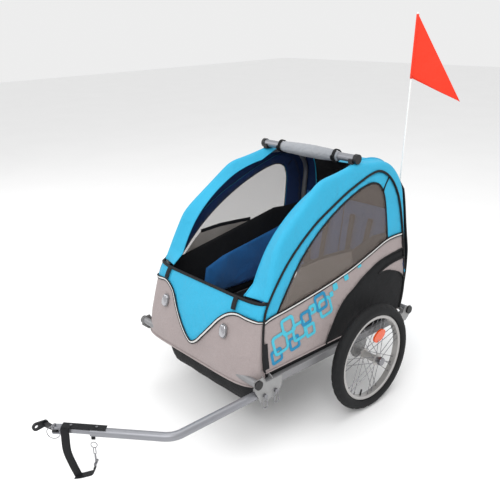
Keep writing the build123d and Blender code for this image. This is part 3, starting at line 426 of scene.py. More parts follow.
MATERIAL["print_dark"] = fabric("print_dark", srgb(34, 130, 172), 0.6, 1.2, 0.2, 0.04, 0.0)
MATERIAL["frame"] = metal("frame_grey", srgb(134, 134, 136), 0.42, 0.5, 80.0, 0.08, 0.05)
MATERIAL["plate"] = metal("plate_grey", srgb(150, 150, 150), 0.45, 0.45, 60.0, 0.10, 0.06)
MATERIAL["silver"] = metal("silver_tube", srgb(140, 141, 146), 0.38, 0.6, 50.0, 0.08, 0.04)
MATERIAL["steel"] = metal("bright_steel", srgb(138, 138, 142), 0.28, 1.0, 90.0, 0.12, 0.04)
MATERIAL["chrome"] = metal("chrome_plate", srgb(176, 176, 180), 0.2, 1.0, 30.0, 0.08, 0.02)
MATERIAL["alloy"] = metal("rim_alloy", srgb(176, 174, 172), 0.4, 0.45, 70.0, 0.07, 0.04)
MATERIAL["dark_steel"] = metal("black_steel", srgb(16, 17, 21), 0.4, 0.2, 90.0, 0.2, 0.1)
MATERIAL["rubber"] = plastic("tyre_rubber", srgb(12, 13, 15), 0.72, 300.0, 0.35, 0.0, 0.35)
MATERIAL["plastic"] = plastic("black_plastic", srgb(9, 9, 11), 0.42, 260.0, 0.15)
MATERIAL["rod"] = plastic("white_rod", srgb(232, 232, 230), 0.35, 120.0, 0.05)
MATERIAL["orange"] = plastic("orange_reflector", srgb(222, 78, 4), 0.2, 420.0, 0.5, 0.6)


def paint(obj, *keys):
    obj.data.materials.clear()
    for k in keys:
        obj.data.materials.append(MATERIAL[k])
    return obj


def done(obj, body, keys, replaces=()):
    paint(obj, *([keys] if isinstance(keys, str) else keys))
    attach(obj, body)
    if replaces:
        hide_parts(*([replaces] if isinstance(replaces, str) else replaces))
    return obj


# ------------------------------------------------------------------ camera, light, floor
def camera():
    cam = bpy.data.cameras.new("camera")
    cam.sensor_width = 36.0
    cam.lens = 646.9 / 500 * 36
    cam.clip_start = 0.05
    o = link("camera", cam)
    az, el, roll = radians(49.028), radians(20.069), radians(-1.563)
    back = np.array((sin(az) * cos(el), -cos(az) * cos(el), sin(el)))
    right = np.cross(-back, (0, 0, 1.0))
    right /= np.linalg.norm(right)
    up = np.cross(right, -back)
    r2 = right * cos(roll) + up * sin(roll)
    u2 = -right * sin(roll) + up * cos(roll)
    m = Matrix.Identity(4)
    for i in range(3):
        m[i][0], m[i][1], m[i][2] = r2[i], u2[i], back[i]
    pos = point(1.65240, -1.67490, 1.37799)
    for i in range(3):
        m[i][3] = pos[i]
    o.matrix_world = m
    bpy.context.scene.camera = o


def area(name, pos, target, size, power, color=(1, 1, 1)):
    d = bpy.data.lights.new(name, "AREA")
    d.shape = "RECTANGLE"
    d.size, d.size_y = size
    d.energy = power
    d.color = color
    o = link(name, d)
    o.location = pos
    o.rotation_euler = (Vector(target) - Vector(pos)).to_track_quat("-Z", "Y").to_euler()


def stage():
    m, nt, b = nodes_of("studio_floor")
    nodes, links = nt.nodes, nt.links
    tc = nodes.new("ShaderNodeTexCoord")
    n1 = nodes.new("ShaderNodeTexNoise")
    n1.inputs["Scale"].default_value = 2.0
    mix = nodes.new("ShaderNodeMix")
    mix.data_type = "RGBA"
    mix.inputs["A"].default_value = (0.90, 0.90, 0.90, 1)
    mix.inputs["B"].default_value = (0.93, 0.93, 0.93, 1)
    links.new(tc.outputs["Object"], n1.inputs["Vector"])
    links.new(n1.outputs["Fac"], mix.inputs["Factor"])
    links.new(mix.outputs["Result"], b.inputs["Base Color"])
    b.inputs["Roughness"].default_value = 0.9
    b.inputs["Specular IOR Level"].default_value = 0.1
    fl = mesh_obj("floor", [(-14, -14, 0), (14, -14, 0), (14, 14, 0), (-14, 14, 0)], [(0, 1, 2, 3)])
    fl.data.materials.append(m)
    w = bpy.data.worlds.new("studio")
    bpy.context.scene.world = w
    w.use_nodes = True
    w.node_tree.nodes["Background"].inputs["Color"].default_value = (1, 1, 1, 1)
    w.node_tree.nodes["Background"].inputs["Strength"].default_value = 0.85
    bpy.context.scene.view_settings.view_transform = "Standard"
    bpy.context.scene.view_settings.exposure = 0.0
    c = (0, 0, 0.5)
    area("key", (2.2, -2.4, 3.4), c, (2.6, 2.6), 85)
    area("fill", (-3.0, -1.6, 2.2), c, (2.6, 2.0), 30)
    area("top", (0.2, 0.6, 3.8), c, (3.0, 3.0), 45)


camera()
stage()

# ------------------------------------------------------------------ a side: (distance from the axle, height)
OUTLINE_TOP = spline([(-0.445, 0.455), (-0.432, 0.492), (-0.405, 0.530), (-0.330, 0.610), (-0.262, 0.664),
                      (-0.173, 0.720),
                      (-0.080, 0.762), (-0.013, 0.790), (0.060, 0.814), (0.125, 0.832), (0.172, 0.836),
                      (0.215, 0.818),
                      (0.252, 0.780), (0.278, 0.720), (0.289, 0.634), (0.291, 0.577)], 90)
LINE = spline([(-0.445, 0.455), (-0.417, 0.463), (-0.345, 0.470), (-0.273, 0.478), (-0.175, 0.491),
               (-0.085, 0.505),
               (-0.008, 0.520), (0.095, 0.547), (0.193, 0.574), (0.240, 0.578), (0.291, 0.577)], 60)
REAR_EDGE = spline([(0.291, 0.577), (0.291, 0.500), (0.287, 0.422), (0.272, 0.355), (0.246, 0.296)], 24)
FRONT_EDGE = spline([(-0.462, 0.300), (-0.463, 0.335), (-0.459, 0.372), (-0.452, 0.420), (-0.445, 0.455)],
                    14)
WINDOW_TOP = spline([(-0.384, 0.468), (-0.352, 0.506), (-0.262, 0.607), (-0.170, 0.680), (-0.078, 0.733),
                     (0.003, 0.768),
                     (0.085, 0.793), (0.140, 0.797), (0.178, 0.780), (0.196, 0.742), (0.201, 0.668),
                     (0.200, 0.5745)], 64)
ARCH = spline([(-0.171, 0.292), (-0.160, 0.315), (-0.137, 0.346), (-0.105, 0.386), (-0.060, 0.424),
               (0.000, 0.455),
               (0.066, 0.483), (0.130, 0.505), (0.200, 0.517), (0.289, 0.521)], 44)
TRI_TOP = spline([(0.128, 0.466), (0.180, 0.480), (0.235, 0.487), (0.286, 0.488)], 14)
TRI_LOW = spline([(0.284, 0.402), (0.262, 0.428), (0.225, 0.452), (0.178, 0.464), (0.128, 0.466)], 16)


def line_part(a, b):
    """Part of the reflective line between two distances from the axle."""
    return np.array([p for p in LINE if a <= p[0] <= b])


window_low = line_part(WINDOW_TOP[0][0] + 0.004, WINDOW_TOP[-1][0] - 0.004)
WINDOW_TOP[0] = (WINDOW_TOP[0][0], np.interp(WINDOW_TOP[0][0], LINE[:, 0], LINE[:, 1]))
WINDOW_TOP[-1] = (WINDOW_TOP[-1][0], np.interp(WINDOW_TOP[-1][0], LINE[:, 0], LINE[:, 1]))
WINDOW = np.vstack([WINDOW_TOP, window_low[::-1]])
UPPER = np.vstack([OUTLINE_TOP, LINE[::-1][1:-1]])
BOTTOM = np.array([(y, 0.2925) for y in np.linspace(0.236, -0.452, 40)])
LOWER = np.vstack([LINE, REAR_EDGE[1:], BOTTOM, FRONT_EDGE[:-1]])
guard_low = np.array([(y, 0.2925) for y in np.linspace(0.236, -0.166, 24)])
ARCH[-1] = (0.2912, 0.521)
rear_part = np.array([p for p in REAR_EDGE if p[1] < 0.515])
GUARD = np.vstack([ARCH, rear_part, guard_low])
TRIANGLE = np.vstack([TRI_TOP, TRI_LOW[:-1]])

# the hoop's bent middle line, in the leaning plane: (distance from the axle, height)
HOOP = [(-0.455, 0.300), (-0.424, 0.490), (-0.330, 0.690), (-0.120, 0.838), (0.060, 0.864), (0.235, 0.850),
        (0.300, 0.765), (0.298, 0.520), (0.250, 0.300)]


def filleted(points, r):
    pts = [np.array((p[0], (p[1] - HINGE_Z) / cos(LEAN))) for p in points]
    out = [pts[0]]
    for a, b, c in zip(pts, pts[1:], pts[2:]):
        u, v = (a - b) / np.linalg.norm(a - b), (c - b) / np.linalg.norm(c - b)
        half = np.arccos(np.clip(u @ v, -1, 1)) / 2
        d = r / tan(half)
        mid = (u + v) / np.linalg.norm(u + v)
        cen = b + mid * r / sin(half)
        s, e = b + u * d - cen, b + v * d - cen
        for k in np.linspace(0, 1, 9):
            w = s * (1 - k) + e * k
            out.append(cen + w / np.linalg.norm(w) * r)
    out.append(pts[-1])
    out = np.array(out)
    out[:, 1] = HINGE_Z + out[:, 1] * cos(LEAN)
    return out


HOOP_LINE = even(filleted(HOOP, 0.110), 400)
STRIP_EDGE = spline([(-0.444, 0.524), (-0.432, 0.562), (-0.398, 0.630), (-0.340, 0.710), (-0.250, 0.786),
                     (-0.140, 0.844),
                     (-0.050, 0.868), (0.036, 0.877), (0.130, 0.878), (0.200, 0.872), (0.262, 0.846),
                     (0.304, 0.790),
                     (0.318, 0.700), (0.318, 0.580), (0.316, 0.470), (0.314, 0.425)], 120)


def on_side(s, out, bulge=0.0, reach=0.05, seed=0.0, amount=0.0025):
    """Places a patch of cloth on a leaning side, bulging out between its seams."""
    def place(v, d):
        res = []
        for (y, z), k in zip(v, d):
            lift = bulge * (1 - np.exp(-k / reach))
            p = point(0, y, z)
            lift += wrinkle((p[1], p[2], seed), 0.10, amount * min(1, k / 0.03))
            res.append(point(s * side_x(z, out + lift), y, z))
        return res
    return place


def side_path(s, line, out):
    return np.array([point(s * side_x(z, out), y, z) for y, z in line])


def flip_if(o, s, want_out=True):
    """Turns the faces so that they look out of the cabin."""
    m = o.data
    n = np.zeros(3)
    for p in m.polygons:
        n += np.array(p.normal) * p.area
    if (n[0] * s > 0) != want_out:
        m.flip_normals()


def chevron(s, body, tag):
    """White reflective piping between two black cords along the seam of a side."""
    base = side_path(s, LINE, 0.0150)
    white = ribbon(f"{tag}_reflective_piping", base, (0, 0, 1), 0.0058, 0.0026)
    done(white, body, "white")
    for k, dz in (("upper", 0.0046), ("lower", -0.0046)):
        c = tube(f"{tag}_{k}_piping_cord", base + np.array((0, 0, dz)), 0.0019, 8)
        done(c, body, "piping")


def rounded_square(cx, cy, size, radius, turn, n=6):
    pts = []
    for qx, qy, a0 in ((1, 1, 0), (-1, 1, 90), (-1, -1, 180), (1, -1, 270)):
        for k in range(n + 1):
            a = radians(a0 + 90 * k / n)
            pts.append((qx * (size / 2 - radius) + radius * cos(a),
                        qy * (size / 2 - radius) + radius * sin(a)))
    t = radians(turn)
    return np.array([(cx + x * cos(t) - y * sin(t), cy + x * sin(t) + y * cos(t)) for x, y in pts])


# a scatter of plain open squares and dots: (y, z, size, tint, open?)
SQUARES = [(-0.405, 0.335, 0.052, "d", 1), (-0.385, 0.372, 0.070, "l", 1), (-0.345, 0.420, 0.060, "l", 1),
           (-0.322, 0.352, 0.050, "d", 1), (-0.298, 0.386, 0.064, "l", 1), (-0.262, 0.420, 0.050, "d", 1),
           (-0.245, 0.372, 0.048, "l", 1), (-0.228, 0.440, 0.034, "l", 1), (-0.184, 0.452, 0.060, "d", 1),
           (-0.165, 0.428, 0.066, "l", 1), (-0.105, 0.482, 0.024, "l", 0), (-0.045, 0.500, 0.022, "l", 0),
           (0.030, 0.524, 0.020, "l", 0), (-0.128, 0.462, 0.018, "l", 0)]


def prints(s, body, tag):
    objs = {"l": [], "d": []}
    for i, (y, z, size, tint, hollow) in enumerate(SQUARES):
        outer = rounded_square(y, z, size, size * 0.22, 8)
        drop = [rounded_square(y, z, size - 0.022, max(size * 0.22 - 0.008, 0.004), 8)] if hollow else []
        level = 0.0004 * (1 + (i % 3)) + (0.0003 if tint == "l" else 0)

        def place(v, d, level=level):
            dd = edge_distance(v, LOWER)
            res = []
            for (yy, zz), k in zip(v, dd):
                lift = GREY_BULGE * (1 - np.exp(-k / 0.05))
                p = point(0, yy, zz)
                lift += wrinkle((p[1], p[2], 3.0 * s), 0.10, 0.0025 * min(1, k / 0.03))
                res.append(point(s * side_x(zz, GREY_OUT + 0.0009 + lift + level), yy, zz))
            return res
        o = patch(f"{tag}_print_{i}", outer, drop, 0.008, place)
        flip_if(o, s)
        objs[tint].append(o)
    for tint, key in (("l", "print_light"), ("d", "print_dark")):
        o = join(objs[tint], f"{tag}_{key}")
        done(o, body, key)


def join(objs, name):
    bpy.ops.object.select_all(action="DESELECT")
    for o in objs:
        o.select_set(True)
    bpy.context.view_layer.objects.active = objs[0]
    bpy.ops.object.join()
    objs[0].name = name
    objs[0].data.name = name
    return objs[0]


GREY_OUT = 0.0128
GREY_BULGE = 0.007


def make_side(tag, s):
    body = f"{tag}_side"
    # blue band round the window
    o = patch(f"{tag}_blue_band", UPPER, [WINDOW], 0.016, on_side(s, GREY_OUT, 0.003, 0.02, s))
    flip_if(o, s)
    solidify(o, 0.0014, -1, 1)
    done(o, body, ("blue", "navy"), f"{tag}_side_panel")
    # grey panel with the wheel guard cut out
    o = patch(f"{tag}_grey_panel", LOWER, [GUARD], 0.016,
              lambda v, d: on_side(s, GREY_OUT, GREY_BULGE, 0.05, 3.0 * s)(v, edge_distance(v, LOWER)))
    flip_if(o, s)
    solidify(o, 0.0014, -1, 1)
    done(o, body, ("grey", "black"))
    o = patch(f"{tag}_wheel_guard_cloth", GUARD, [], 0.016,
              on_side(s, GREY_OUT + 0.0005, 0.010, 0.05, 5.0 * s, 0.003))
    flip_if(o, s)
    solidify(o, 0.0014, -1)
    done(o, body, "black", f"{tag}_wheel_guard")
    o = patch(f"{tag}_rear_gusset", TRIANGLE, [], 0.012,
              lambda v, d: on_side(s, GREY_OUT + 0.0016, 0.010, 0.05, 5.0 * s, 0.003)(v,
                      edge_distance(v, GUARD)))
    flip_if(o, s)
    done(solidify(o, 0.001, 0), body, "grey")
    # tinted window, its black binding and the net pocket behind it
    o = patch(f"{tag}_window_film", WINDOW, [], 0.020,
              on_side(s, GREY_OUT - 0.0004, 0.004, 0.06, 7.0 * s, 0.004))
    flip_if(o, s)
    done(solidify(o, 0.0006, 0), body, "film", f"{tag}_window")
    across = []
    for along in np.gradient(WINDOW_TOP, axis=0):
        normal = np.array((0, -along[1], along[0]))
        across.append(normal / np.linalg.norm(normal))
    edge = side_path(s, WINDOW_TOP, GREY_OUT + 0.001)
    bind = ribbon(f"{tag}_window_binding", edge, np.array(across), 0.0075, 0.0016)
    done(bind, body, "piping")
    lining = np.array([(-0.408, 0.503), (0.130, 0.607), (0.200, 0.600), (0.272, 0.600), (0.270, 0.420),
                       (0.226, 0.300),
                       (-0.416, 0.300)])
    o = patch(f"{tag}_side_lining", lining, [], 0.03, on_side(s, 0.0060, -0.008, 0.05, 13.0 * s, 0.004))
    done(solidify(o, 0.0010, 0), body, "black")
    pleats = np.array([(-0.250, 0.300), (-0.235, 0.430), (-0.150, 0.462), (0.120, 0.510), (0.226, 0.530),
                       (0.226, 0.300)])
    o = patch(f"{tag}_seat_side", pleats, [], 0.02, on_side(s, -0.004, -0.012, 0.04, 15.0 * s, 0.010))
    done(solidify(o, 0.0012, 0), body, "seat_blue")
    pocket = np.array([(-0.372, 0.472), (-0.345, 0.500), (-0.290, 0.560), (-0.255, 0.592), (-0.160, 0.596),
                       (-0.060, 0.590),
                       (0.000, 0.585), (0.002, 0.526), (-0.1, 0.506), (-0.2, 0.488), (-0.3, 0.477)])
    o = patch(f"{tag}_net_pocket", pocket, [], 0.018, on_side(s, 0.0092, 0.0, 0.05, 9.0 * s, 0.002))
    done(solidify(o, 0.0008, 0), body, "net")
    hem = ribbon(f"{tag}_pocket_hem", side_path(s, even(pocket[3:7], 30), 0.0092), (0, 0, 1), 0.014, 0.002)
    done(hem, body, "webbing")
    # black piping round the outline, down the rear edge and down the front corner
    whole = np.vstack([FRONT_EDGE, OUTLINE_TOP[1:], REAR_EDGE[1:]])
    o = tube(f"{tag}_outline_piping", side_path(s, even(whole, 150), 0.0165), 0.0042, 10, flat=0.0034)
    done(o, body, "piping")
    o = tube(f"{tag}_seam_tail", side_path(s, [(0.188, 0.757), (0.205, 0.782), (0.226, 0.803)], 0.0155),
             0.0028, 8)
    done(o, body, "piping")
    # guard's edge and gusset edges
    for k, line, r in (("arch", ARCH, 0.0030), ("gusset_top", TRI_TOP, 0.0035),
                       ("gusset_low", TRI_LOW, 0.003)):
        path = np.array([point(s * side_x(z, GREY_OUT + 0.003 + 0.004 * (k != "arch")), y, z) for y,
                         z in even(line, 40)])
        done(tube(f"{tag}_{k}_binding", path, r, 8), body, "piping")
    strap = [point(s * side_x(z, 0.019), y, z) for y,
             z in even(np.array([(-0.449, 0.392), (-0.452, 0.350), (-0.452, 0.308)]), 10)]
    done(ribbon(f"{tag}_corner_strap", strap, (0, 1, 0), 0.018, 0.003), body, "webbing")
    chevron(s, body, tag)
    prints(s, body, tag)
    # hem along the rail
    low = np.array([(y, 0.2915) for y in np.linspace(-0.455, 0.240, 60)])
    done(tube(f"{tag}_lower_hem", side_path(s, low, GREY_OUT), 0.0022, 8), body, "grey")


def flatten(o):
    """Gives a shoulder piece a mesh of its own."""
    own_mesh(o)


def make_strip(tag, s):
    """The wide blue shoulder: from the piped seam over the hoop to the cabin's opening."""
    body = f"{tag}_side"
    n = 84
    seam = even(np.vstack([OUTLINE_TOP[8:], REAR_EDGE[1:14]]), n)
    edge = even(STRIP_EDGE, n)
    # hoop points spread evenly over the stretch that the shoulder covers
    lo = int(np.argmin(np.abs(HOOP_LINE[:200, 1] - 0.516)))
    hi = 399 - int(np.argmin(np.abs(HOOP_LINE[::-1][:150, 1] - 0.440)))
    rows = []
    hoop_at = np.array([HOOP_LINE[int(round(lo + (hi - lo) * i / (n - 1)))] for i in range(n)])
    for i in range(n):
        h = hoop_at[i]
        a = hoop_at[max(i - 1, 0)]
        b = hoop_at[min(i + 1, n - 1)]
        t = (b - a) / np.linalg.norm(b - a)
        away = np.array((0, -t[1], t[0]))
        out = np.array((s, 0, 0.0))
        c = point(s * side_x(h[1]), h[0], h[1])
        sm = point(s * side_x(seam[i][1], 0.0150), *seam[i])
        curl = 0.034 * min(1, max(0, (0.10 - edge[i][0]) / 0.10)) * min(1,
                max(0, (edge[i][1] - 0.520) / 0.05))
        ed = point(s * 0.197, *edge[i]) - away * curl
        r = 0.0145
        ring = [sm]
        for ray in (away * 0.25 + out, away * 0.7 + out * 0.75, away + out * 0.12, away * 0.95 - out * 0.35):
            ray = ray / np.linalg.norm(ray)
            ring.append(c + ray * r)
        ring.append(ed)
        ring = np.array(ring)
        fine = spline(ring, 15)
        for j in range(len(fine)):
            edge_k = min(j, len(fine) - 1 - j) / 5
            fine[j] = fine[j] + away * wrinkle((fine[j][0] * s, fine[j][1], fine[j][2]), 0.11,
                                               0.0035 * min(1, edge_k), 11.0)
        rows.append(fine)
    rows = np.array(rows)
    o = grid(f"{tag}_canopy_shoulder", rows)
    m = o.data
    # faces look away from the hoop
    cen = point(0, -0.02, 0.52)
    votes = sum(np.sign((np.array(p.center) - cen) @ np.array(p.normal)) for p in m.polygons)
    if votes < 0:
        m.flip_normals()
    solidify(o, 0.0015, -1, 1)
    subsurf(o, 1)
    done(o, body, ("blue", "navy"), f"{tag}_roof_strip")
    flatten(o)
    inner = rows[:, -1]
    hem = tube(f"{tag}_opening_hem", inner, 0.0024, 8)
    done(hem, body, "blue")
    flatten(hem)


for tag, s in (("left", 1), ("right", -1)):
    make_side(tag, s)
    make_strip(tag, s)


# ------------------------------------------------------------------ front panel
FRONT_LINE = np.vstack([FRONT_EDGE, OUTLINE_TOP[1:10]])


def front_point(u, v, lift=0.0):
    """u from -1 to 1 across, v from 0 at the top to 1 at the bottom edge."""
    z = 0.516 + (0.254 - 0.516) * v
    k = max(v, 0)
    edge_y = float(np.interp(max(z, 0.300), FRONT_LINE[:, 1], FRONT_LINE[:, 0])) + 0.001
    edge_x = side_x(max(z, 0.292), 0.0150)
    belly = 0.008 * (1 - u * u) * sin(pi * min(k * 1.05, 1))
    middle_y = -0.450 - 0.076 * k ** 0.75 - belly
    round_off = (1 - min(abs(u), 1) ** 7) ** 0.5
    return point(u * edge_x, edge_y + (middle_y - edge_y) * round_off - lift, z)


WAVE = spline([(-1.0, 0.205), (-0.90, 0.195), (-0.72, 0.165), (-0.62, 0.19), (-0.50, 0.26), (-0.36, 0.44),
               (-0.22, 0.62),
               (-0.10, 0.745), (-0.025, 0.785), (0.06, 0.745), (0.17, 0.62), (0.30, 0.46), (0.42, 0.315),
               (0.55, 0.215),
               (0.68, 0.175), (0.82, 0.185), (1.0, 0.205)], 90)


def cut_wave(x):
    return float(np.interp(x, WAVE[:, 0], WAVE[:, 1]))


def front_place(lift, seed=1.0):
    def place(v, d):
        res = []
        for (u, w), k in zip(v, d):
            p = front_point(u, w, lift)
            p[1] -= wrinkle((p[0], p[2], seed), 0.09, 0.008 * min(1, k / 0.12))
            res.append(p)
        return res
    return place


def face_front(o):
    n = sum(p.normal[1] * p.area for p in o.data.polygons)
    if n > 0:
        o.data.flip_normals()


def fold_down(o):
    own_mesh(o)


def folding(o, keys, replaces=()):
    done(o, "base", keys, replaces)
    fold_down(o)


top_edge = np.array([(x, 0.0) for x in np.linspace(-1, 1, 60)])
low_edge = np.array([(x, 1.0) for x in np.linspace(1, -1, 60)])
o = patch("front_panel_blue", np.vstack([top_edge, WAVE[::-1]]), [], 0.035, front_place(0))
face_front(o)
solidify(o, 0.0015, -1, 1)
folding(o, ("blue", "black"), "front_panel")
o = patch("front_panel_grey", np.vstack([WAVE, low_edge]), [], 0.035, front_place(0))
face_front(o)
solidify(o, 0.0015, -1, 1)
folding(o, ("grey", "black"))


def front_line(points, lift):
    return np.array([front_point(u, v, lift) for u, v in points])


o = tube("front_top_piping", front_line(top_edge, 0.002), 0.0052, 10)
folding(o, "piping")
base = front_line(WAVE, 0.0042)
o = ribbon("front_reflective_piping", base,
           np.array([np.cross((0, -1, 0), d) for d in np.gradient(base, axis=0)]), 0.0062, 0.0028)
folding(o, "white")
tang = np.gradient(base, axis=0)
tang /= np.linalg.norm(tang, axis=1)[:, None]
nrm = np.cross(tang, (0, -1.0, 0))
for k, sgn in (("upper", 1), ("lower", -1)):
    o = tube(f"front_wave_cord_{k}", base + nrm * 0.0048 * sgn, 0.0020, 8)
    folding(o, "piping")
o = tube("front_lower_hem", front_line(low_edge, 0.0), 0.0028, 8)
folding(o, "grey")
for k, u in (("left", 0.615), ("right", -0.70)):
    a, b = front_point(u, -0.01, 0.006), front_point(u, 0.135, 0.006)
    o = ribbon(f"front_tab_{k}", even(np.array([a, (a + b) / 2 + (0, -0.002, 0), b]), 10), (1, 0, 0), 0.021,
               0.003)
    folding(o, "webbing")


def rounded_plate(name, centre, right, up, w, h, t, dome=0.0):
    """A pillow-edged plate: rings shrinking from its rim to its middle."""
    ring = rounded_square(0, 0, 1, 0.36, 0, 8)
    rows = []
    normal = np.cross(right, up)
    for scale, lift in ((1.0, 0.0), (1.0, t * 0.55), (0.94, t * 0.95), (0.82, t), (0.55, t + dome * 0.8),
                        (0.02, t + dome)):
        rows.append([centre + right * x * w * scale + up * y * h * scale + normal * lift for x, y in ring])
    o = grid(name, rows, close_u=True)
    return o


for k, u, v in (("left", 0.52, 0.43), ("right", -0.60, 0.42)):
    c = front_point(u, v, 0.003)
    right = np.array((1.0, 0, 0))
    up = front_point(u, v - 0.05) - front_point(u, v + 0.05)
    up /= np.linalg.norm(up)
    o = rounded_plate(f"reflector_{k}", c, right, up, 0.029, 0.042, 0.0085, 0.002)
    folding(o, "chrome", "front_reflectors" if k == "left" else ())
    rim = [c + right * x * 0.030 * 1.04 + up * y * 0.043 * 1.04 + np.cross(right, up) * 0.002 for x,
           y in rounded_square(0, 0, 1, 0.36, 0, 8)]
    o = tube(f"reflector_rim_{k}", rim, 0.0016, 6, closed=True)
    folding(o, "frame")

# ------------------------------------------------------------------ back of the cabin
BACK = spline([(0.089, 0.868), (0.180, 0.867), (0.240, 0.858), (0.285, 0.832), (0.316, 0.790),
               (0.329, 0.730), (0.331, 0.600),
               (0.331, 0.420), (0.318, 0.345), (0.297, 0.290)], 80)


def back_half(y, z):
    if z > 0.80:
        return 0.190 + 0.02 * max(0, (y - 0.22)) / 0.1
    k = min(1, (0.80 - z) / 0.06)
    return (0.210 * (1 - k) + min(side_x(z) + 0.002, 0.272) * k)


def back_rows(a, b, drop=0.0):
    rows = []
    for y, z in BACK[a:b]:
        w = back_half(y, z)
        row = []
        for u in np.linspace(-1, 1, 41):
            sag = 0.0025 * sin(3 * pi * u) * (1 - abs(u)) if z < 0.8 else -0.004 * (1 - u * u)
            yy = y + (0.010 * (1 - u * u) if z < 0.76 else 0) + wrinkle((u * w, z, 2.0), 0.12,
                    0.004 * (1 - abs(u)))
            row.append(point(u * w, yy, z + (sag if z > 0.8 else 0)))
        rows.append(row)
    return rows


split = int(np.argmin(np.abs(BACK[:, 1] - 0.425) + (BACK[:, 0] < 0.32) * 9))
for name, a, b, mats, slot, rep in (("back_panel_blue", 0, split + 1, ("blue", "black"), "blue_fabric",
                                     "back_panel"),
                                    ("back_panel_black", split, 80, ("black", "black"), "black_fabric", ())):
    o = grid(name, back_rows(a, b))
    n = sum(p.normal[1] * p.area for p in o.data.polygons)
    if n < 0:
        o.data.flip_normals()
    solidify(o, 0.0016, -1, 1)
    subsurf(o, 1)
    folding(o, mats, rep)
rows = np.array(back_rows(0, 80))
seam = rows[split]
o = tube("back_seam_piping", seam, 0.003, 8)
folding(o, "piping")
for k, j in (("left", -1), ("right", 0)):
    o = tube(f"back_edge_piping_{k}", rows[22:, j], 0.0034, 8)
    folding(o, "piping")

# ------------------------------------------------------------------ floor well
rings = []
for z, x, y0, y1, r in ((0.2640, 0.250, -0.470, -0.250, 0.020), (0.256, 0.249, -0.470, -0.250, 0.022),
                        (0.225, 0.246, -0.468, -0.256, 0.026),
                        (0.190, 0.240, -0.465, -0.278, 0.030), (0.160, 0.232, -0.461, -0.300, 0.032),
                        (0.142, 0.222, -0.457, -0.318, 0.034),
                        (0.133, 0.208, -0.450, -0.326, 0.034), (0.1305, 0.180, -0.440, -0.336, 0.030),
                        (0.1302, 0.05, -0.410, -0.366, 0.02)):
    ring = []
    for qx, qy, a0 in ((1, 1, 0), (-1, 1, 90), (-1, -1, 180), (1, -1, 270)):
        for k in range(9):
            a = radians(a0 + 90 * k / 8)
            cx = x - r if qx > 0 else -x + r
            cy = (y1 - r) if qy > 0 else (y0 + r)
            ring.append((cx + r * cos(a), cy + r * sin(a)))
    ring = even(np.array(ring + ring[:1]), 97)[:-1]
    pts = []
    for px, py in ring:
        p = point(px, py, z)
        w = wrinkle((p[0], p[1], z), 0.07, 0.004, 4.0)
        pts.append(p + np.array((np.sign(px) * w, w, 0)))
    rings.append(pts)
o = grid("footwell_cloth", rings, close_u=True)
v = [tuple(x.co) for x in o.data.vertices]
f = [tuple(p.vertices) for p in o.data.polygons]
f.append(tuple(range(len(v) - 96, len(v))))
bpy.data.objects.remove(o)
o = mesh_obj("footwell_cloth", v, f)
votes = sum((np.array(p.center) - point(0, -0.36, 0.2)) @ np.array(p.normal) for p in o.data.polygons)
if votes < 0:
    o.data.flip_normals()
solidify(o, 0.0018, -1)
done(o, "base", "black", "footwell_tray")
rim = np.array(rings[0])
# floor round the well
outer = []
for px, py, pz in rim:
    yy = py - AXLE_Y
    ox = px * (0.3080 / 0.250)
    oy = -0.4905 if yy < -0.44 else (-0.066 if yy > -0.28 else yy)
    if -0.44 <= yy <= -0.28:
        oy = -0.4905 + (yy + 0.44) / 0.16 * (0.4905 - 0.066)
    outer.append((ox, AXLE_Y + oy, 0.2625))
o = grid("cabin_floor", [rim, np.array(outer)], close_u=True)
if sum(p.normal[2] for p in o.data.polygons) < 0:
    o.data.flip_normals()
solidify(o, 0.002, 1)
done(o, "base", "black")

# cloth between the floor's edge and the sides, and the floor under the seat
SKIRT_X = 0.3015
for k, s in (("left", 1), ("right", -1)):
    rows = [[point(s * SKIRT_X, y, z) for y in np.linspace(-0.455, 0.236, 30)]
            for z in (0.264, 0.282, 0.300)]
    o = grid(f"{k}_floor_skirt", rows)
    done(solidify(o, 0.0012, 0), "base", "black")
rows = [[point(x, y, 0.2584) for x in np.linspace(-SKIRT_X, SKIRT_X, 12)]
        for y in np.linspace(-0.0680, 0.2360, 8)]
o = grid("seat_floor", rows)
done(solidify(o, 0.0008, 0), "base", "black")

# ------------------------------------------------------------------ seat
def closed_pad(name, top, low, n):
    """Closes two square grids of points, n cells a side, along their shared outline."""
    top, low = np.array(top), np.array(low)
    verts = np.vstack([top.reshape(-1, 3), low.reshape(-1, 3)])
    k = (n + 1) ** 2
    faces = []
    for i in range(n):
        for j in range(n):
            a = i * (n + 1) + j
            faces.append((a, a + 1, a + n + 2, a + n + 1))
            faces.append((k + a, k + a + n + 1, k + a + n + 2, k + a + 1))
    ed = []
    for j in range(n):
        ed += [(j, j + 1), (n * (n + 1) + j + 1, n * (n + 1) + j)]
        ed += [((j + 1) * (n + 1), j * (n + 1)), (j * (n + 1) + n, (j + 1) * (n + 1) + n)]
    for a, b in ed:
        faces.append((b, a, k + a, k + b))
    o = mesh_obj(name, verts, faces)
    subsurf(o, 1)
    return o


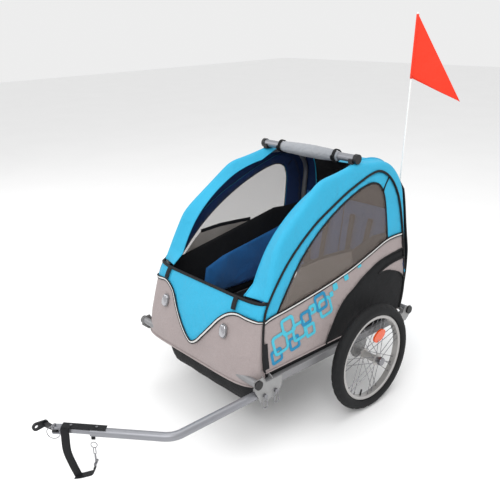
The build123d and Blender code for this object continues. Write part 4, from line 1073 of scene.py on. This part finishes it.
def cushion(name, cx, w, y0, y1, z0, z1, n=26, channels=3):
    """A crowned seat pad: closed, thin at its sewn rim, with soft cross channels."""
    top, low = [], []
    for i in range(n + 1):
        v = i / n
        tr, lr = [], []
        for j in range(n + 1):
            u = j / n
            e = min(u, 1 - u, v, 1 - v)
            crown = (1 - np.exp(-e * 9))
            ch = 1 - 0.22 * sum(np.exp(-((v - (k + 1) / (channels + 1)) / 0.02) ** 2)
                                for k in range(channels))
            x = cx + (u - 0.5) * w * (1 - 0.02 * sin(pi * v))
            y = y0 + (y1 - y0) * v
            mid = z0 + (z1 - z0) * 0.35
            zt = mid + (z1 - mid) * crown * ch + wrinkle((x, y, 0), 0.06, 0.003 * crown, 6.0)
            tr.append(point(x, y, zt))
            lr.append(point(x, y, mid - (mid - z0) * crown))
        top.append(tr)
        low.append(lr)
    return closed_pad(name, top, low, n)


for i, cx in enumerate((-0.131, 0.131)):
    o = cushion(f"seat_pad_{'right' if i == 0 else 'left'}", cx, 0.258, -0.062, 0.200, 0.2590, 0.2835)
    done(o, "base", "seat_blue", "seat_base" if i == 0 else ())
back_up = np.array((0, 0.17, 0.98))
back_up /= np.linalg.norm(back_up)
back_front = np.array((0, -0.98, 0.17))
back_front /= np.linalg.norm(back_front)
sb0 = point(0, 0.222, 0.2827)


def on_back(x, h, t):
    return sb0 + np.array((x, 0, 0)) + back_up * h + back_front * t


def back_pad(name, cx, w, h0, h1):
    n = 30
    front, rear = [], []
    for i in range(n + 1):
        v = i / n
        fr, rr = [], []
        for j in range(n + 1):
            u = j / n
            e = min(u, 1 - u, v, 1 - v)
            crown = 1 - np.exp(-e * 10)
            pleat = 1 - 0.30 * sum(np.exp(-((u - k / 4) / 0.022) ** 2) for k in (1, 2, 3))
            x = cx + (u - 0.5) * w
            h = h0 + (h1 - h0) * v
            t = 0.010 + 0.011 * crown * pleat + wrinkle((x, h, 1), 0.07, 0.003 * crown, 8.0)
            fr.append(on_back(x, h, t))
            rr.append(on_back(x, h, 0.008 - 0.007 * crown))
        front.append(fr)
        rear.append(rr)
    return closed_pad(name, front, rear, n)


for i, cx in enumerate((-0.108, 0.108)):
    o = back_pad(f"backrest_{'right' if i == 0 else 'left'}", cx, 0.212, 0.004, 0.386)
    done(o, "base", "seat_blue", "seat_back" if i == 0 else ())
    fold_down(o)
belts = []
for cx in (-0.105, 0.105):
    for dx in (-0.045, 0.045):
        path = [on_back(cx + dx * (1 - 0.25 * k), 0.335 - 0.30 * k, 0.0245 + 0.010 * sin(pi * k))
                for k in np.linspace(0, 1, 24)]
        belts.append(ribbon(f"belt_{len(belts)}", path, (1, 0, 0), 0.025, 0.0018))
    path = [on_back(cx + x, 0.09, 0.0285 + 0.006 * cos(x * 18)) for x in np.linspace(-0.060, 0.060, 14)]
    belts.append(ribbon(f"belt_{len(belts)}", path, back_up, 0.025, 0.0018))
o = join(belts, "harness_belts")
folding(o, "webbing", "harnesses")
for k, cx in (("right", -0.105), ("left", 0.105)):
    o = rounded_plate(f"buckle_{k}", on_back(cx, 0.09, 0.036), np.array((1.0, 0, 0)), back_up, 0.040, 0.030,
                      0.008, 0.002)
    folding(o, "plastic")

# ------------------------------------------------------------------ roof bar's rolled cover
bar_lo, bar_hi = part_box("roof_bar")
bar = (np.array(bar_lo) + np.array(bar_hi)) / 2
ROLL = 0.150
rows = []
for i in range(61):
    u = i / 60
    x = -ROLL + 2 * ROLL * u
    row = []
    for j in range(40):
        a = 2 * pi * j / 40
        r = 0.0185 + 0.0050 * sin(pi * u) ** 0.6
        pinch = 0.0030 * (np.exp(-((x + ROLL - 0.014) / 0.007) ** 2)
                          + np.exp(-((x - ROLL + 0.014) / 0.007) ** 2))
        lap = 0.0022 * (((a / (2 * pi) + 0.07 * sin(2.2 * u)) % 1.0) - 0.5)
        fold = 0.0016 * noise.noise(Vector((x * 14, cos(a) * 1.6,
                                            sin(a) * 1.6 + 3.0))) + 0.0008 * noise.noise(Vector((x * 60,
                                                    cos(a) * 3, sin(a) * 3)))
        rr = r - pinch + lap + fold
        row.append((x + bar[0], bar[1] + rr * cos(a), bar[2] + rr * sin(a) - 0.0008))
    rows.append(row)
o = grid("rolled_cover", rows, close_u=True)
ends = [tuple(v.co) for v in o.data.vertices]
f = [tuple(p.vertices) for p in o.data.polygons]
inner = []
for x, sgn in ((-ROLL, -1), (ROLL, 1)):
    k = len(ends)
    ring = [(x + bar[0] + sgn * 0.002, bar[1] + 0.0146 * cos(2 * pi * j / 40),
             bar[2] + 0.0146 * sin(2 * pi * j / 40)) for j in range(40)]
    ends += ring
    base_i = 0 if sgn < 0 else 60 * 40
    for j in range(40):
        q = (base_i + j, base_i + (j + 1) % 40, k + (j + 1) % 40, k + j)
        f.append(q if sgn > 0 else q[::-1])
bpy.data.objects.remove(o)
o = mesh_obj("rolled_cover", ends, f)
subsurf(o, 1)
done(o, "roof_bar", "cover", "rolled_front_cover")
for k, x in (("right", -ROLL + 0.012), ("left", ROLL - 0.012)):
    parts = []
    for dx, rr in ((-0.003, 0.0212), (0.004, 0.0208)):
        ring = [(bar[0] + x + dx + 0.0015 * sin(3 * a), bar[1] + rr * cos(a), bar[2] + rr * sin(a))
                for a in np.linspace(0, 2 * pi, 49)[:-1]]
        parts.append(tube(f"band_{k}_{len(parts)}", ring, 0.0026, 8, closed=True))
    loop = [(bar[0] + x + 0.008 * sin(t), bar[1] - 0.0225 - 0.003 * cos(t),
             bar[2] + 0.004 - 0.010 * (1 - cos(t))) for t in np.linspace(0, 2 * pi, 25)[:-1]]
    parts.append(tube(f"band_{k}_loop", loop, 0.0018, 6, closed=True))
    o = join(parts, f"elastic_band_{k}")
    done(o, "roof_bar", "piping", "cover_elastic_bands" if k == "left" else ())


# ------------------------------------------------------------------ tyres
def tyre(tag, s):
    cx = s * WHEEL_X
    n, k = 216, 44
    R, r = 0.178, 0.022
    rows = []
    for i in range(n):
        th = 2 * pi * i / n
        row = []
        for j in range(k):
            a = radians(-138 + 276 * j / (k - 1))
            d = r
            tread = abs(a) < radians(58)
            if tread:
                lug = (i + (2 if a > 0 else 0)) % 6
                centre = abs(a) < radians(9)
                groove = radians(9) <= abs(a) < radians(14) or radians(33) <= abs(a) < radians(38)
                if groove or (not centre and lug in (0, 1)):
                    d -= 0.0012
            else:
                if abs(abs(a) - radians(70)) < radians(3):
                    d += 0.0005
                if abs(abs(a) - radians(112)) < radians(4):
                    d += 0.0006
            rad = R + d * cos(a)
            row.append((cx + d * sin(a), AXLE_Y + rad * sin(th), WHEEL_Z + rad * cos(th)))
        rows.append(row)
    rows = np.array(rows)
    o = grid(f"{tag}_tyre_tread", rows, close_v=True)
    m = o.data
    votes = sum((np.array(p.center) - (cx, AXLE_Y, WHEEL_Z)) @ np.array(p.normal)
                for p in m.polygons if abs(p.center[0] - cx) < 0.005)
    if votes < 0:
        m.flip_normals()
    solidify(o, 0.003, -1)
    done(o, f"{tag}_wheel", "rubber", f"{tag}_tyre")
    # valve and spoke nipples
    v0 = np.array((cx, AXLE_Y, WHEEL_Z))
    a = radians(200)
    d = np.array((0, sin(a), cos(a)))
    o = tube(f"{tag}_valve", [v0 + d * 0.150, v0 + d * 0.136, v0 + d * 0.128, v0 + d * 0.126], 0.0032, 10)
    done(o, f"{tag}_wheel", "plastic")
    nip = []
    for e in (-1, 1):
        for i in range(14):
            ang = radians(i * 360 / 14 + (360 / 28 if e > 0 else 0) + (34 if i % 2 else -34))
            d = np.array((0, sin(ang), cos(ang)))
            base = v0 + np.array((s * e * 0.0030, 0, 0))
            nip.append(tube(f"{tag}_nip_{e}_{i}", [base + d * 0.150, base + d * 0.139], 0.0021, 6))
    o = join(nip, f"{tag}_nipples")
    done(o, f"{tag}_wheel", "steel")


tyre("left", 1)
tyre("right", -1)

# ------------------------------------------------------------------ flag
base_pt, top_pt = point(0.204, 0.3384, 0.520), point(0.254, 0.3384, 1.368)
way = (top_pt - base_pt) / np.linalg.norm(top_pt - base_pt)
ft = top_pt - way * 0.004
fl0 = ft - way * 0.218
tip = point(0.377, 0.450, 1.061)
rows = []
for i in range(31):
    u = i / 30
    a = ft + (tip - ft) * u
    b = fl0 + (tip - fl0) * u
    row = []
    for j in range(17):
        v = j / 16
        p = a + (b - a) * v
        w = np.cross(way, tip - fl0)
        w /= np.linalg.norm(w)
        row.append(p + w * (0.010 * sin(7 * u + 1.2 * v) * u * (1 - u * 0.4)))
    rows.append(row)
o = grid("flag_cloth", rows)
solidify(o, 0.0007, 0)
done(o, "flag_pole", "flag", "flag")
o = tube("flag_hem", [fl0 - way * 0.002 + (ft - fl0) * k for k in np.linspace(0, 1, 12)], 0.0048, 12)
done(o, "flag_pole", "flag")

# ------------------------------------------------------------------ safety strap
# it runs from the top of the bar, round the near side and back to its clip
STRAP_BEND = point(0.305, -0.818, 0.228)
LEVEL_WAY = np.array((-0.726, -0.688, 0.0))
NEAR_WAY = np.array((0.688, -0.726, 0.0))
STRAP_RISE = 0.0482


def along_leg(s, h, near):
    return STRAP_BEND + LEVEL_WAY * s / 1000 + np.array((0, 0, h / 1000)) + NEAR_WAY * near / 1000


def strap_run(points, width_dir, n):
    path = spline([along_leg(*q) for q in points], n)
    return ribbon("strap_run", path, width_dir, 0.026, 0.0026)


runs = [strap_run([(k, STRAP_RISE * k + 15.55, 0) for k in (198, 240, 290, 330)], NEAR_WAY, 20),
        strap_run([(317, 30.5, 17), (317, 10, 17.6), (318, -48, 17), (306, -94, 17.4), (293, -134, 17)],
                  LEVEL_WAY, 26),
        strap_run([(303, -136.5, 17), (283, -133, 17), (266, -127.5, 17), (245, -118, 17), (239, -96, 17)],
                  NEAR_WAY, 22),
        strap_run([(312, 31.2, 0), (314, 31.6, 8), (316, 31.0, 14), (317, 27, 17.4)], LEVEL_WAY, 10)]
o = join(runs, "safety_strap_webbing")
done(o, "base", "webbing", "safety_strap")
o = tube("ring_tab_webbing", [along_leg(239, 239 * STRAP_RISE - 12.5, 2.0),
                              along_leg(239, 239 * STRAP_RISE - 24, 4.0)], 0.0065, 12,
         flat=0.0022, up=NEAR_WAY)
done(o, "base", "webbing", "ring_tab")

# ------------------------------------------------------------------ CAD nodes that keep their shape
def repaint(names, key):
    for n in names:
        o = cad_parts[n]
        for i in range(max(len(o.material_slots), 1)):
            if o.material_slots:
                o.material_slots[i].material = MATERIAL[key]
            else:
                o.data.materials.append(MATERIAL[key])


repaint(["left_side_rail", "right_side_rail", "front_cross_tube", "rear_cross_tube", "seat_cross_tubes",
         "left_hoop",
         "right_hoop"], "frame")
repaint(["corner_plates", "tow_bar_bracket", "axle_brackets", "hinge_brackets"], "plate")
repaint(["tow_bar", "hitch_tip", "roof_bar"], "silver")
repaint(["hinge_pins", "front_tow_pin", "rear_tow_pin", "hitch_pin", "strap_chain", "strap_rivets",
         "left_spokes", "right_spokes",
         "left_axle", "right_axle", "left_bearings", "right_bearings"], "steel")
repaint(["left_rim", "right_rim", "left_hub", "right_hub"], "alloy")
repaint(["hitch_yoke", "hitch_coupler"], "dark_steel")
repaint(["cross_tube_end_caps", "roof_bar_end_fittings", "flag_sleeve"], "plastic")
repaint(["left_spoke_reflector", "right_spoke_reflector"], "orange")
repaint(["flag_pole"], "rod")
